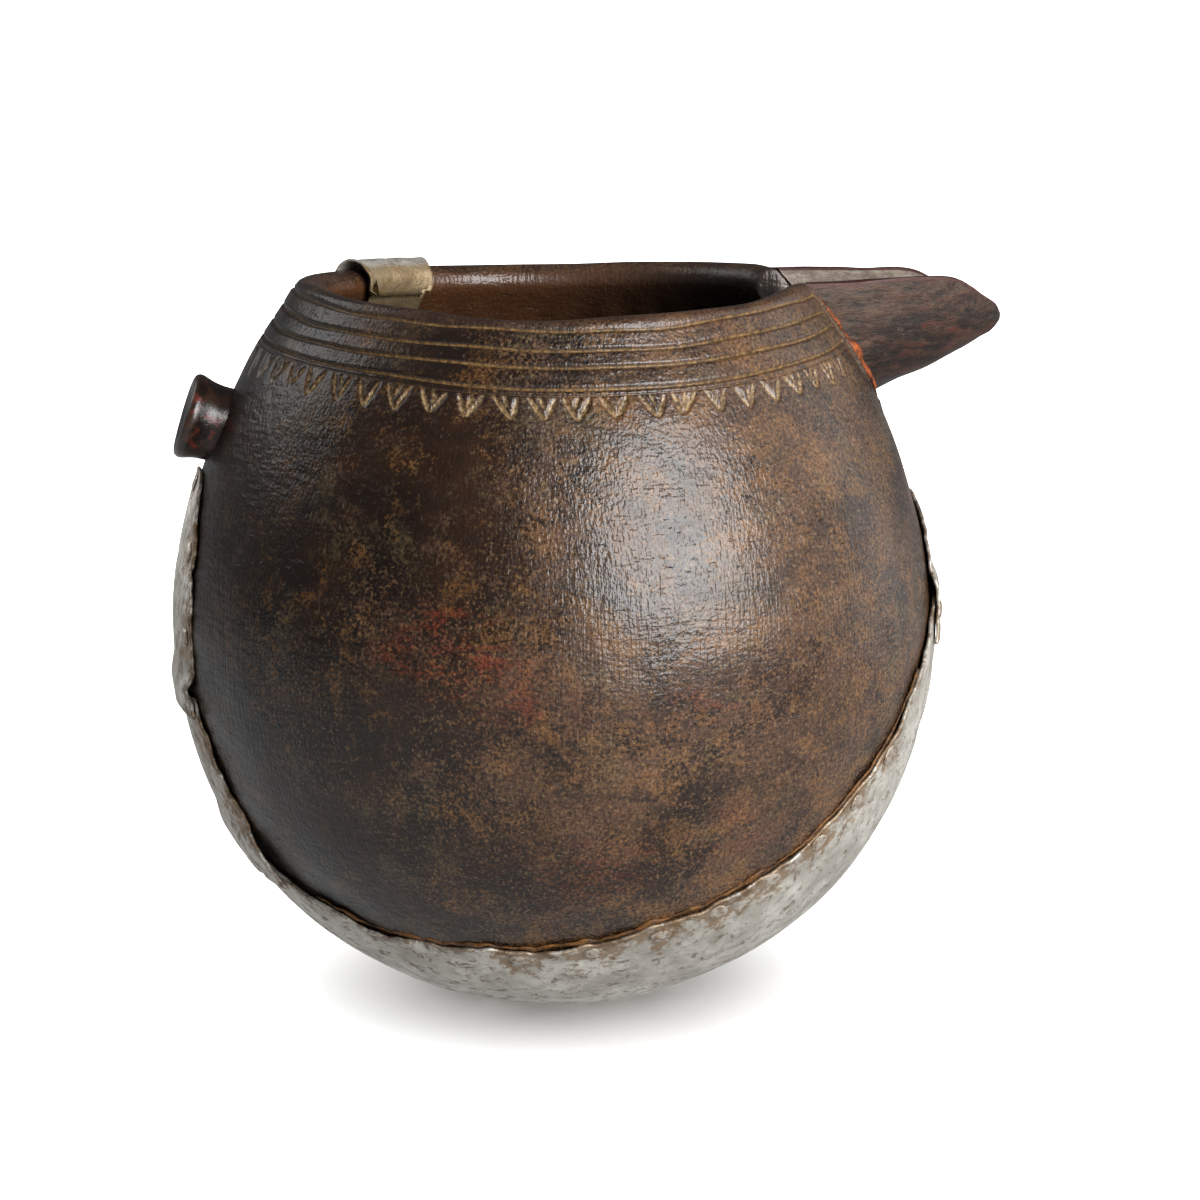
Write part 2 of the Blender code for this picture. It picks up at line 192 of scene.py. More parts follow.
# Spout and its trough: distance along X, half width, top height, keel height.
SPOUT_STATIONS = (
    (0.058, 0.0215, 0.1885, 0.1482),
    (0.066, 0.0208, 0.1885, 0.1508),
    (0.078, 0.0180, 0.1887, 0.1549),
    (0.090, 0.0150, 0.1888, 0.1601),
    (0.098, 0.0129, 0.1888, 0.1638),
    (0.104, 0.0109, 0.1882, 0.1666),
    (0.1095, 0.0081, 0.1857, 0.1693),
    (0.1145, 0.0048, 0.1824, 0.1718),
    (0.1178, 0.0026, 0.1797, 0.1741),
    (0.1190, 0.0012, 0.1778, 0.1757),
)
TROUGH_STATIONS = (
    (0.050, 0.0170, 0.196, 0.1755),
    (0.066, 0.0165, 0.196, 0.1760),
    (0.078, 0.0142, 0.196, 0.1764),
    (0.090, 0.0112, 0.196, 0.1768),
    (0.100, 0.0086, 0.196, 0.1770),
    (0.109, 0.0050, 0.196, 0.1772),
    (0.121, 0.0010, 0.196, 0.1774),
)
SPOUT_TIP = SPOUT_STATIONS[-1][0]
SPOUT_POWER = 2.3
TROUGH_POWER = 2.6
SPOUT_HALF_COUNT = 44
FAR_WALL_SHORTER = 0.0060
TROUGH_HALF = 0.0166
TROUGH_FLOOR = 0.1757
GATE_OUTER_FOOT = 0.1722
GATE_INNER_FOOT = 0.1700

# The seam where the spout meets the neck: half its width, its top and its foot.
SEAM_HALF = 0.0207
SEAM_TOP = 0.190
SEAM_KEEL = 0.1540

# Camera and its lens.
CAMERA_DISTANCE = 0.80
CAMERA_AZIMUTH = -98.0
CAMERA_HEIGHT = 0.2755
CAMERA_HEADING = 81.15
CAMERA_PITCH = 12.12
CAMERA_LENS = 92.9

# Lights on the object: name, azimuth, elevation, distance, (width, height), watts, what it lights.
LIGHTS = (
    ("window", -60, 22, 1.7, (1.05, 1.30), 61, ""),
    ("left_card", 130, 28, 1.6, (1.30, 1.70), 15.0, "aluminium"),
    ("left_sheen", 147, 34, 1.6, (0.9, 0.9), 4.5, "wood"),
    ("right_card", 12, 16, 1.6, (0.90, 1.50), 6.0, ""),
)
LIGHT_TARGET = Vector((0.0, 0.0, 0.1))
FLOOR_LIGHT = 9.0
FLOOR_LIGHT_SPREAD = 150

# Surroundings: the direction's Z where they start and stop fading, and their strength there.
WORLD_FADE = (-0.35, 0.10)
WORLD_STRENGTH = (0.54, 0.07)
FLOOR_SIZE = 40.0
FLOOR_GAP = 0.0002


def sine(degrees):
    return np.sin(np.radians(degrees))


def cosine(degrees):
    return np.cos(np.radians(degrees))


def eased(value, start, end):
    """0 before start and 1 after end, with a smooth step between them."""
    share = np.clip((value - start) / (end - start), 0.0, 1.0)
    return share * share * (3 - 2 * share)


def bell(value, middle, width):
    """1 at the middle, fading smoothly to both sides."""
    return np.exp(-(((value - middle) / width) ** 2))


def waves(points, wavelength, seed, count=10):
    """A smooth random field over points, mostly between -1 and 1."""
    rng = np.random.default_rng(seed)
    directions = rng.normal(size=(count, 3))
    directions /= np.linalg.norm(directions, axis=1, keepdims=True)
    lengths = wavelength * rng.uniform(0.7, 1.5, count)
    turns = np.asarray(points) @ (directions / lengths[:, None]).T * math.tau
    return np.sin(turns + rng.uniform(0, math.tau, count)).sum(-1) / math.sqrt(count)


def superellipse(polar, radius, below, above):
    """Distance from the middle of the belly to a wall, at polar angles in degrees."""
    low = polar < 90
    power = np.where(low, LOW_POWER, HIGH_POWER)
    height = np.where(low, below, above)
    across = np.abs(sine(polar)) / radius
    along = np.abs(cosine(polar)) / height
    return (across**power + along**power) ** (-1 / power)


def outer_wall(polar, outset=0.0):
    """(radius, height) of the wood's outer face, or of a face set out from it."""
    polar = np.asarray(polar, float)
    reach = superellipse(polar, BELLY_RADIUS, BELOW_HEIGHT, ABOVE_HEIGHT) + outset
    height = CENTRE_HEIGHT - reach * cosine(polar)
    return reach * sine(polar), np.maximum(height, WOOD_FOOT - outset)


def inner_wall(polar):
    """(radius, height) of the hollow's face."""
    polar = np.asarray(polar, float)
    reach = superellipse(polar, HOLLOW_RADIUS, HOLLOW_BELOW, HOLLOW_ABOVE)
    return reach * sine(polar), CENTRE_HEIGHT - reach * cosine(polar)


TABLE_POLARS = np.linspace(20, 158, 2400)
TABLE_RADII, TABLE_HEIGHTS = outer_wall(TABLE_POLARS)
INNER_RADII, INNER_HEIGHTS = inner_wall(TABLE_POLARS)


def polar_at(height):
    return np.interp(height, TABLE_HEIGHTS, TABLE_POLARS)


def radius_at(height):
    return np.interp(height, TABLE_HEIGHTS, TABLE_RADII)


def inner_radius_at(height):
    return np.interp(height, INNER_HEIGHTS, INNER_RADII)


def wall_lean(height):
    """Unit normal (outwards, upwards) of the outer face at a height."""
    step = 0.0004
    slope = (radius_at(height + step) - radius_at(height - step)) / (2 * step)
    length = np.sqrt(1 + slope**2)
    return 1 / length, -slope / length


def around(radius, height, azimuth):
    """Points at radii, heights and azimuths that broadcast together."""
    radius, height, azimuth = np.broadcast_arrays(radius, height, azimuth)
    return np.stack((radius * cosine(azimuth), radius * sine(azimuth), height), axis=-1)


def on_wall(azimuth, polar, outset=0.0):
    """Points set out from the wood at azimuths and polar angles."""
    radius, height = outer_wall(polar, outset)
    return around(radius, height, azimuth)


def saddle(radius, height, azimuth):
    """How far the neck is lowered: most at the front and the back, less than 0 between."""
    rise = eased(height, DIP_START, LIP_HEIGHT)
    turned = (azimuth + 180) % 360 - 180
    dip = bell(turned, *FRONT_DIP) + bell(turned, *BACK_DIP)
    swell = NECK_SWELL * (1 - dip) * np.clip((height - NECK_START) / NECK_RISE, 0, 1)
    swell = swell * eased(np.abs(turned), 6, 26)
    swell = swell + LIP_SWELL * eased(height, 0.1800, 0.1865)
    return RIM_DIP * sine(azimuth) ** 2 * rise - swell


def over_lip(turn, across, along):
    """(radius, height) on an arc over the lip: turn is 0 outside and pi inside."""
    out = across * math.cos(turn)
    up = along * math.sin(turn)
    radius = LIP_RADIUS + out * math.cos(WALL_LEAN) - up * math.sin(WALL_LEAN)
    return radius, LIP_HEIGHT + out * math.sin(WALL_LEAN) + up * math.cos(WALL_LEAN)


def wall_normal(azimuth, polar):
    """Outward unit normal of the wood at azimuths and polar angles."""
    step = 0.4
    ahead = on_wall(azimuth, polar + step) - on_wall(azimuth, polar - step)
    aside = on_wall(azimuth + step, polar) - on_wall(azimuth - step, polar)
    normal = np.cross(aside, ahead)
    return normal / np.linalg.norm(normal, axis=-1, keepdims=True)


# ---------------------------------------------------------------- meshes


def quads_between(first, second):
    """Faces between two closed rings of point numbers with equal counts."""
    return np.stack((first, np.roll(first, -1), np.roll(second, -1), second), axis=1)


def doubling_faces(coarse, fine):
    """Triangles between a ring and a ring with twice its points, for fine above coarse."""
    after = np.roll(coarse, -1)
    start, middle, end = fine[0::2], fine[1::2], np.roll(fine[0::2], -1)
    return np.concatenate(
        (
            np.stack((coarse, middle, start), axis=1),
            np.stack((coarse, after, middle), axis=1),
            np.stack((after, end, middle), axis=1),
        )
    )


def grid_faces(rows, columns, closed):
    """Quads over a grid of points, whose rows may be closed rings."""
    numbers = np.arange(rows * columns).reshape(rows, columns)
    if closed:
        numbers = np.concatenate((numbers, numbers[:, :1]), axis=1)
    corners = (numbers[:-1, :-1], numbers[:-1, 1:], numbers[1:, 1:], numbers[1:, :-1])
    return np.stack([corner.ravel() for corner in corners], axis=1)


def fan(ring, centre):
    """Triangles from a ring of point numbers to one centre."""
    return np.stack((np.full_like(ring, centre), np.roll(ring, -1), ring), axis=1)


def end_caps(first, last, centre):
    """Fans that close a skin's first and last ring at the points centre and centre + 1."""
    return np.concatenate((fan(first, centre), fan(last, centre + 1)[:, (0, 2, 1)]))


def mesh_piece(name, points, quads, triangles=None, attributes=None, sharp=None):
    """A smooth-shaded object from arrays of points and faces."""
    mesh = bpy.data.meshes.new(name)
    faces = [quads]
    if triangles is not None and len(triangles):
        faces.append(triangles)
    corners = np.concatenate([face.ravel() for face in faces]).astype(np.int32)
    sizes = np.concatenate([np.full(len(face), face.shape[1]) for face in faces])
    starts = np.concatenate(([0], np.cumsum(sizes)[:-1])).astype(np.int32)
    mesh.vertices.add(len(points))
    mesh.vertices.foreach_set("co", np.asarray(points, np.float32).ravel())
    mesh.loops.add(len(corners))
    mesh.loops.foreach_set("vertex_index", corners)
    mesh.polygons.add(len(sizes))
    mesh.polygons.foreach_set("loop_start", starts)
    mesh.update(calc_edges=True)
    mesh.validate()
    mesh.shade_smooth()
    if sharp:
        mesh.set_sharp_from_angle(angle=math.radians(sharp))
    for key, values in (attributes or {}).items():
        layer = mesh.attributes.new(key, "FLOAT", "POINT")
        layer.data.foreach_set("value", np.asarray(values, np.float32).ravel())
    made = bpy.data.objects.new(name, mesh)
    bpy.context.scene.collection.objects.link(made)
    return made


def closed_tube(name, rings, attributes=None, sharp=None):
    """A piece from a stack of rings of points, with a fan over each end."""
    rows, columns = rings.shape[:2]
    points = np.concatenate((*rings, [rings[0].mean(0), rings[-1].mean(0)]))
    first = np.arange(columns)
    caps = end_caps(first, (rows - 1) * columns + first, rows * columns)
    return mesh_piece(name, points, grid_faces(rows, columns, True), caps, attributes, sharp)


def place_piece(made, surface, slot, *nodes):
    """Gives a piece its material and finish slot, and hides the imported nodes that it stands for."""
    made.data.materials.clear()
    made.data.materials.append(surface)
    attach(made, "root")
    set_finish(made, slot)
    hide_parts(*nodes)
    return made


def smooth_through(knots, values, places):
    """Natural cubic spline through (knots, values), read at places."""
    knots = np.asarray(knots, float)
    values = np.asarray(values, float)
    spans = np.diff(knots)
    slopes = np.diff(values) / spans
    count = len(knots)
    system = np.eye(count)
    right = np.zeros(count)
    for row in range(1, count - 1):
        before, after = spans[row - 1], spans[row]
        system[row, row - 1 : row + 2] = (before, 2 * (before + after), after)
        right[row] = 6 * (slopes[row] - slopes[row - 1])
    bends = np.linalg.solve(system, right)
    place = np.clip(places, knots[0], knots[-1])
    part = np.clip(np.searchsorted(knots, place) - 1, 0, count - 2)
    span = spans[part]
    left = place - knots[part]
    rest = knots[part + 1] - place
    curve = (bends[part] * rest**3 + bends[part + 1] * left**3) / (6 * span)
    curve += (values[part] / span - bends[part] * span / 6) * rest
    return curve + (values[part + 1] / span - bends[part + 1] * span / 6) * left


# ---------------------------------------------------------------- wooden body


def column_azimuths():
    """Azimuths of the finest ring's points, closest together at the spout."""
    even = np.linspace(-180, 180, 4001)
    density = 1 + CROWDING * np.exp(-((even / CROWD_WIDTH) ** 4))
    total = np.concatenate(([0], np.cumsum((density[1:] + density[:-1]) / 2)))
    return np.interp(np.linspace(0, total[-1], FINE_COLUMNS, endpoint=False), total, even)


def seam_distance(across, height):
    """Distance outside the spout's outline where it meets the neck."""
    down = np.clip((SEAM_TOP - height) / (SEAM_TOP - SEAM_KEEL), 0, None)
    spread = (np.abs(across) / SEAM_HALF) ** SPOUT_POWER + down**SPOUT_POWER
    return (spread ** (1 / SPOUT_POWER) - 1) * (SEAM_HALF + SEAM_TOP - SEAM_KEEL) / 2


def ring_shift(azimuth, number):
    """How far a ring wanders from its height, in metres."""
    wander = 0.00022 * np.sin(np.radians(azimuth) * (2 + number) + 1.7 * number)
    wander += 0.00013 * np.sin(np.radians(azimuth) * (7 + 2 * number) + 2.9 * number)
    return wander - RING_SAG[number] * sine(azimuth) ** 2


def neck_height(height, azimuth):
    """Height of a mesh row once it has been bent to run with the rings."""
    knots = np.array((0.1600, *RING_HEIGHTS, 0.1872))
    shifts = [np.zeros_like(azimuth)]
    shifts += [ring_shift(azimuth, number) for number in range(len(RING_HEIGHTS))]
    shifts.append(shifts[-1] * 0.5)
    place = int(np.clip(np.searchsorted(knots, height) - 1, 0, len(knots) - 2))
    share = np.clip((height - knots[place]) / (knots[place + 1] - knots[place]), 0, 1)
    return height + shifts[place] * (1 - share) + shifts[place + 1] * share


def ring_cut(row_height, azimuth, radius, height):
    """Depth of the knife-cut rings, which turn down along the spout's seam."""
    across = radius * sine(azimuth)
    seam = np.where(np.abs(azimuth) < 90, seam_distance(across, height), 1.0)
    depth = np.zeros_like(azimuth)
    for ring, level in enumerate(RING_HEIGHTS):
        above = (row_height - level) * WALL_SLOPE
        beside = RING_SEAM_OFFSET[ring] - seam
        gap = np.clip(0.5 + 0.5 * (above - beside) / RING_BLEND, 0, 1)
        off_line = beside * (1 - gap) + above * gap + RING_BLEND * gap * (1 - gap)
        fade = eased(height, 0.160, 0.168)
        groove = np.clip(1 - np.abs(off_line) / RING_HALF[ring], 0, None) ** 0.8
        depth = np.maximum(depth, RING_DEPTH[ring] * groove * fade)
    return depth * (seam > 0.0008)


def notch_strokes():
    """Strokes of the V cuts, unrolled: (x0, y0, x1, y1, half width, share of the depth)."""
    rng = np.random.default_rng(11)
    strokes = []
    azimuth = NOTCH_START
    while azimuth < 360 - NOTCH_START:
        from_spout = min(azimuth, 360 - azimuth)
        spacing = np.interp(from_spout, (28, 40, 60), (4.3, 5.6, NOTCH_SPACING))
        scale = spacing / NOTCH_SPACING
        middle = math.radians(azimuth) * NOTCH_RADIUS
        half = (0.0032 + rng.normal(0, 0.0002)) * scale
        foot = -(0.0081 + rng.normal(0, 0.0004)) * (0.35 + 0.65 * scale)
        drift = rng.normal(0, 0.0005)
        top = NOTCH_TOP
        width = (0.00082 + rng.uniform(0, 0.0002)) * (0.5 + 0.5 * scale)
        tip = middle + drift
        strokes.append((middle - half, top, tip - 0.0001, foot, width, 1.0))
        strokes.append((middle + half, top - rng.uniform(0, 0.0008), tip + 0.0003, foot, width, 1.0))
        if rng.uniform() < 0.75:
            side = 1 if rng.uniform() < 0.55 else -1
            start = middle - side * half * 0.15
            goal = middle + side * half * 0.42 + drift * 0.4
            end = goal * 0.55 + start * 0.45
            strokes.append((start, top + 0.0002, end, foot * 0.55, width * 0.72, 0.75))
        if rng.uniform() < 0.45:
            start = middle + half * 0.35
            strokes.append((start, top - 0.001, tip + half * 0.05, foot * 0.72, width * 0.7, 0.7))
        azimuth += spacing * rng.uniform(0.93, 1.07)
    return strokes


def notch_cut(across, down):
    """Share of the full depth that the V cuts have at unrolled points."""
    depth = np.zeros_like(across)
    for x0, y0, x1, y1, width, share in notch_strokes():
        near = np.abs(across - (x0 + x1) / 2) < abs(x1 - x0) / 2 + 2 * width
        if not near.any():
            continue
        x, y = across[near], down[near]
        run = (x1 - x0) ** 2 + (y1 - y0) ** 2
        along = np.clip(((x - x0) * (x1 - x0) + (y - y0) * (y1 - y0)) / run, 0, 1)
        off = np.hypot(x - x0 - along * (x1 - x0), y - y0 - along * (y1 - y0))
        taper = np.sin(math.pi * (0.10 + 0.80 * along)) ** 0.55
        cut = share * np.clip(1 - off / (width * taper), 0, 1) ** 0.85 * taper
        depth[near] = np.maximum(depth[near], cut)
    return depth


def hand_carved(points):
    """Slight hollows and swellings that a knife leaves on a round wall."""
    return 0.00028 * waves(points, 0.050, 3) + 0.00010 * waves(points, 0.019, 4)


def body_rows():
    """The outer rings as (points, notch share, ring share), foot first, and the azimuths."""
    fine = column_azimuths()
    rows = []

    def add(row_height, azimuth, polar=None):
        """Adds a ring at a height on the neck, or at a polar angle lower down."""
        if polar is None:
            level = neck_height(row_height, azimuth)
            radius = radius_at(level)
        else:
            radius, level = outer_wall(np.full_like(azimuth, polar))
        out, up = wall_lean(level)
        plain = around(radius, level, azimuth)
        ring = np.zeros_like(azimuth)
        notch = np.zeros_like(azimuth)
        if row_height:
            ring = ring_cut(row_height, azimuth, radius, level)
            turn = np.radians(azimuth % 360) * NOTCH_RADIUS
            notch = notch_cut(turn, np.full_like(turn, (row_height - RING_HEIGHTS[0]) * WALL_SLOPE))
        push = hand_carved(plain) * eased(level, WOOD_FOOT, 0.02)
        push = push - ring - NOTCH_DEPTH * notch + seam_relief(radius, level, azimuth)
        level = level - saddle(radius, level, azimuth) + up * push
        rows.append((around(radius + out * push, level, azimuth), notch, ring / RING_DEPTH[1]))

    for polar in np.linspace(FIRST_POLAR, float(polar_at(COARSE_END)), 68):
        add(None, fine[::4], polar=polar)
    for height in HALF_ROWS:
        add(height, fine[::2])
    for height in np.linspace(FINE_START, FINE_END, 20):
        add(height, fine)
    for height in neck_row_heights():
        add(height, fine[::2])
    return rows, fine


def seam_relief(radius, level, azimuth):
    """A raised lip of body wood round the spout, with a narrow gutter inside it."""
    seam = np.where(np.abs(azimuth) < 60, seam_distance(radius * sine(azimuth), level), 1.0)
    strength = eased(level, 0.150, 0.158)
    return strength * (RIDGE_HEIGHT * bell(seam, *RIDGE) - GUTTER_DEPTH * bell(seam, *GUTTER))


def neck_row_heights():
    """Row heights that crowd at each ring, with one row between two rings."""
    heights = {round(FINE_END + 0.0001, 5)}
    for level in RING_HEIGHTS:
        for offset in (-0.0009, -0.00066, -0.0004, -0.0002, 0, 0.0002, 0.0004, 0.00066, 0.0009):
            heights.add(round(level + offset, 5))
    for low, high in zip(RING_HEIGHTS[1:], RING_HEIGHTS[2:]):
        heights.add(round(low + (high - low) * 0.5, 5))
    kept = []
    for height in sorted(heights):
        apart = not kept or height - kept[-1] > CLOSEST_ROWS
        if FINE_END < height < NECK_END + 0.00005 and apart:
            kept.append(height)
    return kept


def lip_rows(azimuth, count=13):
    """Rings over the rounded lip, outside to inside."""
    rows = []
    wobble = 0.00035 * waves(around(LIP_RADIUS, LIP_HEIGHT, azimuth), 0.045, 21)
    swell = 1 + 0.06 * waves(around(LIP_RADIUS, LIP_HEIGHT, azimuth), 0.030, 22)
    for turn in np.linspace(0, math.pi, count)[1:]:
        radius, height = over_lip(turn, LIP_ACROSS, LIP_ALONG * swell)
        level = height + wobble * math.sin(turn) - saddle(radius, height, azimuth)
        rows.append(around(radius, level, azimuth))
    return rows


def inner_rows(azimuths_by_polar):
    """Rings down the inside wall with faint tool facets."""
    rows = []
    for polar, azimuth in azimuths_by_polar:
        radius, height = inner_wall(np.full_like(azimuth, polar))
        plain = around(radius, height, azimuth)
        facet = 0.00035 * np.sin(np.radians(azimuth) * 34 + 3 * waves(plain, 0.06, 31))
        facet += 0.0003 * waves(plain, 0.03, 32)
        facet *= eased(180 - polar, 38, 44)
        level = height - saddle(radius, height, azimuth)
        rows.append(around(radius + facet, level, azimuth))
    return rows


def trough_gate(points_by_row, first, last):
    """Lowers the rim into a rolled gate where the spout's trough leaves the mouth."""
    outer_heights = np.linspace(GATE_OUTER_FOOT, TROUGH_FLOOR - 0.0020, 12)
    outer = np.stack((radius_at(outer_heights), outer_heights), axis=1)
    inner_heights = np.linspace(TROUGH_FLOOR - 0.0028, GATE_INNER_FOOT, 12)
    inner = np.stack((inner_radius_at(inner_heights), inner_heights), axis=1)
    turns = np.linspace(0, math.pi, 26)[1:-1]
    middle = (outer[-1] + inner[0]) / 2
    half = (outer[-1] - inner[0]) / 2
    crown = TROUGH_FLOOR - middle[1]
    arc = middle + np.outer(np.cos(turns), half)
    arc[:, 1] += crown * np.sin(turns) ** 0.8
    path = np.concatenate((outer, arc, inner))
    steps = np.concatenate(([0], np.cumsum(np.hypot(*np.diff(path, axis=0).T))))
    for row in range(first, last + 1):
        points = points_by_row[row]
        along = (row - first) / (last - first) * steps[-1]
        radius, height = [np.interp(along, steps, places) for places in path.T]
        azimuth = np.degrees(np.arctan2(points[:, 1], points[:, 0]))
        side = np.abs(points[:, 1]) + 10 * (points[:, 0] < 0)
        weight = 1 - eased(side, TROUGH_HALF - 0.0012, TROUGH_HALF + 0.0011)
        low = around(np.full_like(azimuth, radius), np.full_like(azimuth, height), azimuth)
        points_by_row[row] = points + (low - points) * weight[:, None]
    return points_by_row


def vessel_body():
    """The carved wooden body: outer wall, neck, lip, hollow and the spout's gate."""
    rows, fine = body_rows()
    points, notch, ring = [list(column) for column in zip(*rows)]
    gate_start = len(points) - len(neck_row_heights())
    points += lip_rows(fine[::2])
    lip_end = math.degrees(math.atan2(LIP_INNER_RADIUS, CENTRE_HEIGHT - LIP_INNER_HEIGHT))
    polars = np.concatenate((np.linspace(lip_end, 128, 16)[1:], np.linspace(128, 4, 36)[1:]))
    inside = [(polar, fine[:: 2 if number < 9 else 4]) for number, polar in enumerate(polars)]
    gate_end = len(points) + 7
    points += inner_rows(inside)
    points = trough_gate(points, gate_start, gate_end)
    quads, triangles = skin_faces([len(row) for row in points])
    total = sum(len(row) for row in points)
    bottom = np.array([[0, 0, WOOD_FOOT], [0, 0, CENTRE_HEIGHT - HOLLOW_BELOW]])
    first = np.arange(len(points[0]))
    last = total - len(points[-1]) + np.arange(len(points[-1]))
    triangles = np.concatenate((triangles, end_caps(first, last, total)))
    everything = np.concatenate(points + [bottom])
    attributes = body_attributes(everything)
    for key, values in (("notch", notch), ("ring", ring)):
        carved = np.concatenate(values)
        attributes[key] = np.pad(carved, (0, len(everything) - len(carved)))
    return mesh_piece("carved_body", everything, quads, triangles, attributes)


def skin_faces(counts):
    """Quads and triangles that join closed rings, where counts may double or halve."""
    starts = np.concatenate(([0], np.cumsum(counts)[:-1]))
    rings = [start + np.arange(count) for start, count in zip(starts, counts)]
    quads = []
    triangles = [np.zeros((0, 3), int)]
    for low, high in zip(rings, rings[1:]):
        if len(low) == len(high):
            quads.append(quads_between(low, high))
        elif len(low) < len(high):
            triangles.append(doubling_faces(low, high))
        else:
            triangles.append(doubling_faces(high, low)[:, ::-1])
    return np.concatenate(quads), np.concatenate(triangles)


def body_attributes(points):
    """Where the wood is dusty, red, inside, on the lip, painted pale for light at the trough, or painted
    dark for shade inside the mouth.
    """
    x, y, z = points.T
    azimuth = np.degrees(np.arctan2(y, x))
    radius = np.hypot(x, y)
    wall = np.interp(z, TABLE_HEIGHTS, TABLE_RADII)
    inside = eased(wall - radius, 0.0066, 0.0080) * (z > 0.006)
    # Painted shade: the inside of the mouth towards the spout, and the spout's throat, are marked to be
    # painted near black.
    soot = inside * bell(azimuth, 22, 44) * eased(z, 0.06, 0.12)
    throat_shade = (1 - eased(np.abs(y), 0.018, 0.023)) * eased(x, 0.038, 0.046)
    throat_shade = throat_shade * (1 - eased(x, 0.0610, 0.0660)) * eased(z, 0.158, 0.166)
    soot = np.maximum(soot, throat_shade)
    lip = eased(z, 0.1825, 0.1855)
    dusty = 0.26 + 0.20 * waves(points, 0.05, 41) - 0.30 * bell(azimuth, -160, 32)
    dusty += 0.55 * bell(azimuth, -62, 38) + 0.40 * bell(azimuth, 75, 45)
    # Painted light: where the trough leaves the mouth, the rolled gate is marked to be painted pale
    # grey.
    gate = (1 - eased(np.abs(y), 0.016, 0.020)) * eased(x, 0.0620, 0.0670) * eased(z, 0.166, 0.174)
    return {
        "dusty": np.clip(dusty, 0, 1),
        "red": np.clip(red_patches(azimuth, z), 0, 1),
        "inside": inside,
        "lip": lip * (1 - inside),
        "gate": gate,
        "soot": soot,
    }


def red_patches(azimuth, height):
    """How red the wood is at azimuths and heights."""
    total = np.zeros_like(azimuth)
    for middle, level, width, tall, strength in RED_PATCHES:
        total += strength * bell(azimuth, middle, width) * bell(height, level, tall)
    return total


# ---------------------------------------------------------------- spout


def station_shape(stations, x):
    """Half width, top and bottom of a gutter at distances x along the spout."""
    table = np.array(stations)
    return [smooth_through(table[:, 0], table[:, column], x) for column in (1, 2, 3)]


def wall_top(x, across):
    """Top of the spout's wall, where across is 1 on the shorter +Y wall and -1 opposite."""
    table = np.array(SPOUT_STATIONS)
    lead = FAR_WALL_SHORTER * eased(across, -0.5, 0.5) * eased(x, 0.085, 0.095)
    lead = lead * (1 - eased(x, 0.110, 0.117))
    return smooth_through(table[:, 0], table[:, 2], x + lead)


def u_shape(turn, power):
    """(across, down) of a U whose turn runs from 0 to pi under the keel."""
    across = np.sign(np.cos(turn)) * np.abs(np.cos(turn)) ** (2 / power)
    return across, np.sin(turn) ** (2 / power)


def gutter_point(x, turn):
    """Point of the spout's outside at distance x and a turn round its U section."""
    half, _, keel = station_shape(SPOUT_STATIONS, x)
    across, down = u_shape(turn, SPOUT_POWER)
    top = wall_top(x, across)
    return np.stack((x, across * half, top - down * (top - keel)), axis=-1)


def meets_neck(make_point, gap):
    """Distance along X at which each line of the spout meets the neck."""
    low = np.full(make_point(0.07).shape[0], 0.056)
    high = np.full_like(low, 0.105)
    for _ in range(32):
        middle = (low + high) / 2
        point = make_point(middle)
        inside = np.hypot(point[:, 0], point[:, 1]) < radius_at(point[:, 2]) + gap
        low = np.where(inside, middle, low)
        high = np.where(inside, high, middle)
    return (low + high) / 2


def gutter_turns(count):
    """Angles round a U section, crowded at its two upper edges."""
    share = np.linspace(0, 1, count)
    return math.pi * share - 0.42 * np.sin(math.tau * share)


def spout_loop(x):
    """Closed section at distances x (one for each point): outside, edge, trough, edge."""
    turn = gutter_turns(SPOUT_HALF_COUNT)
    x_in = x[SPOUT_HALF_COUNT:]
    half = station_shape(SPOUT_STATIONS, x_in)[0]
    wide, _, floor = station_shape(TROUGH_STATIONS, x_in)
    wide = np.minimum(wide, half - 0.0009)
    across, down = u_shape(turn[::-1], TROUGH_POWER)
    top = wall_top(x_in, across)
    floor = np.minimum(floor, top - 0.0006)
    inner = np.stack((x_in, across * wide, top - down * (top - floor)), axis=-1)
    return np.concatenate((gutter_point(x[:SPOUT_HALF_COUNT], turn), inner))


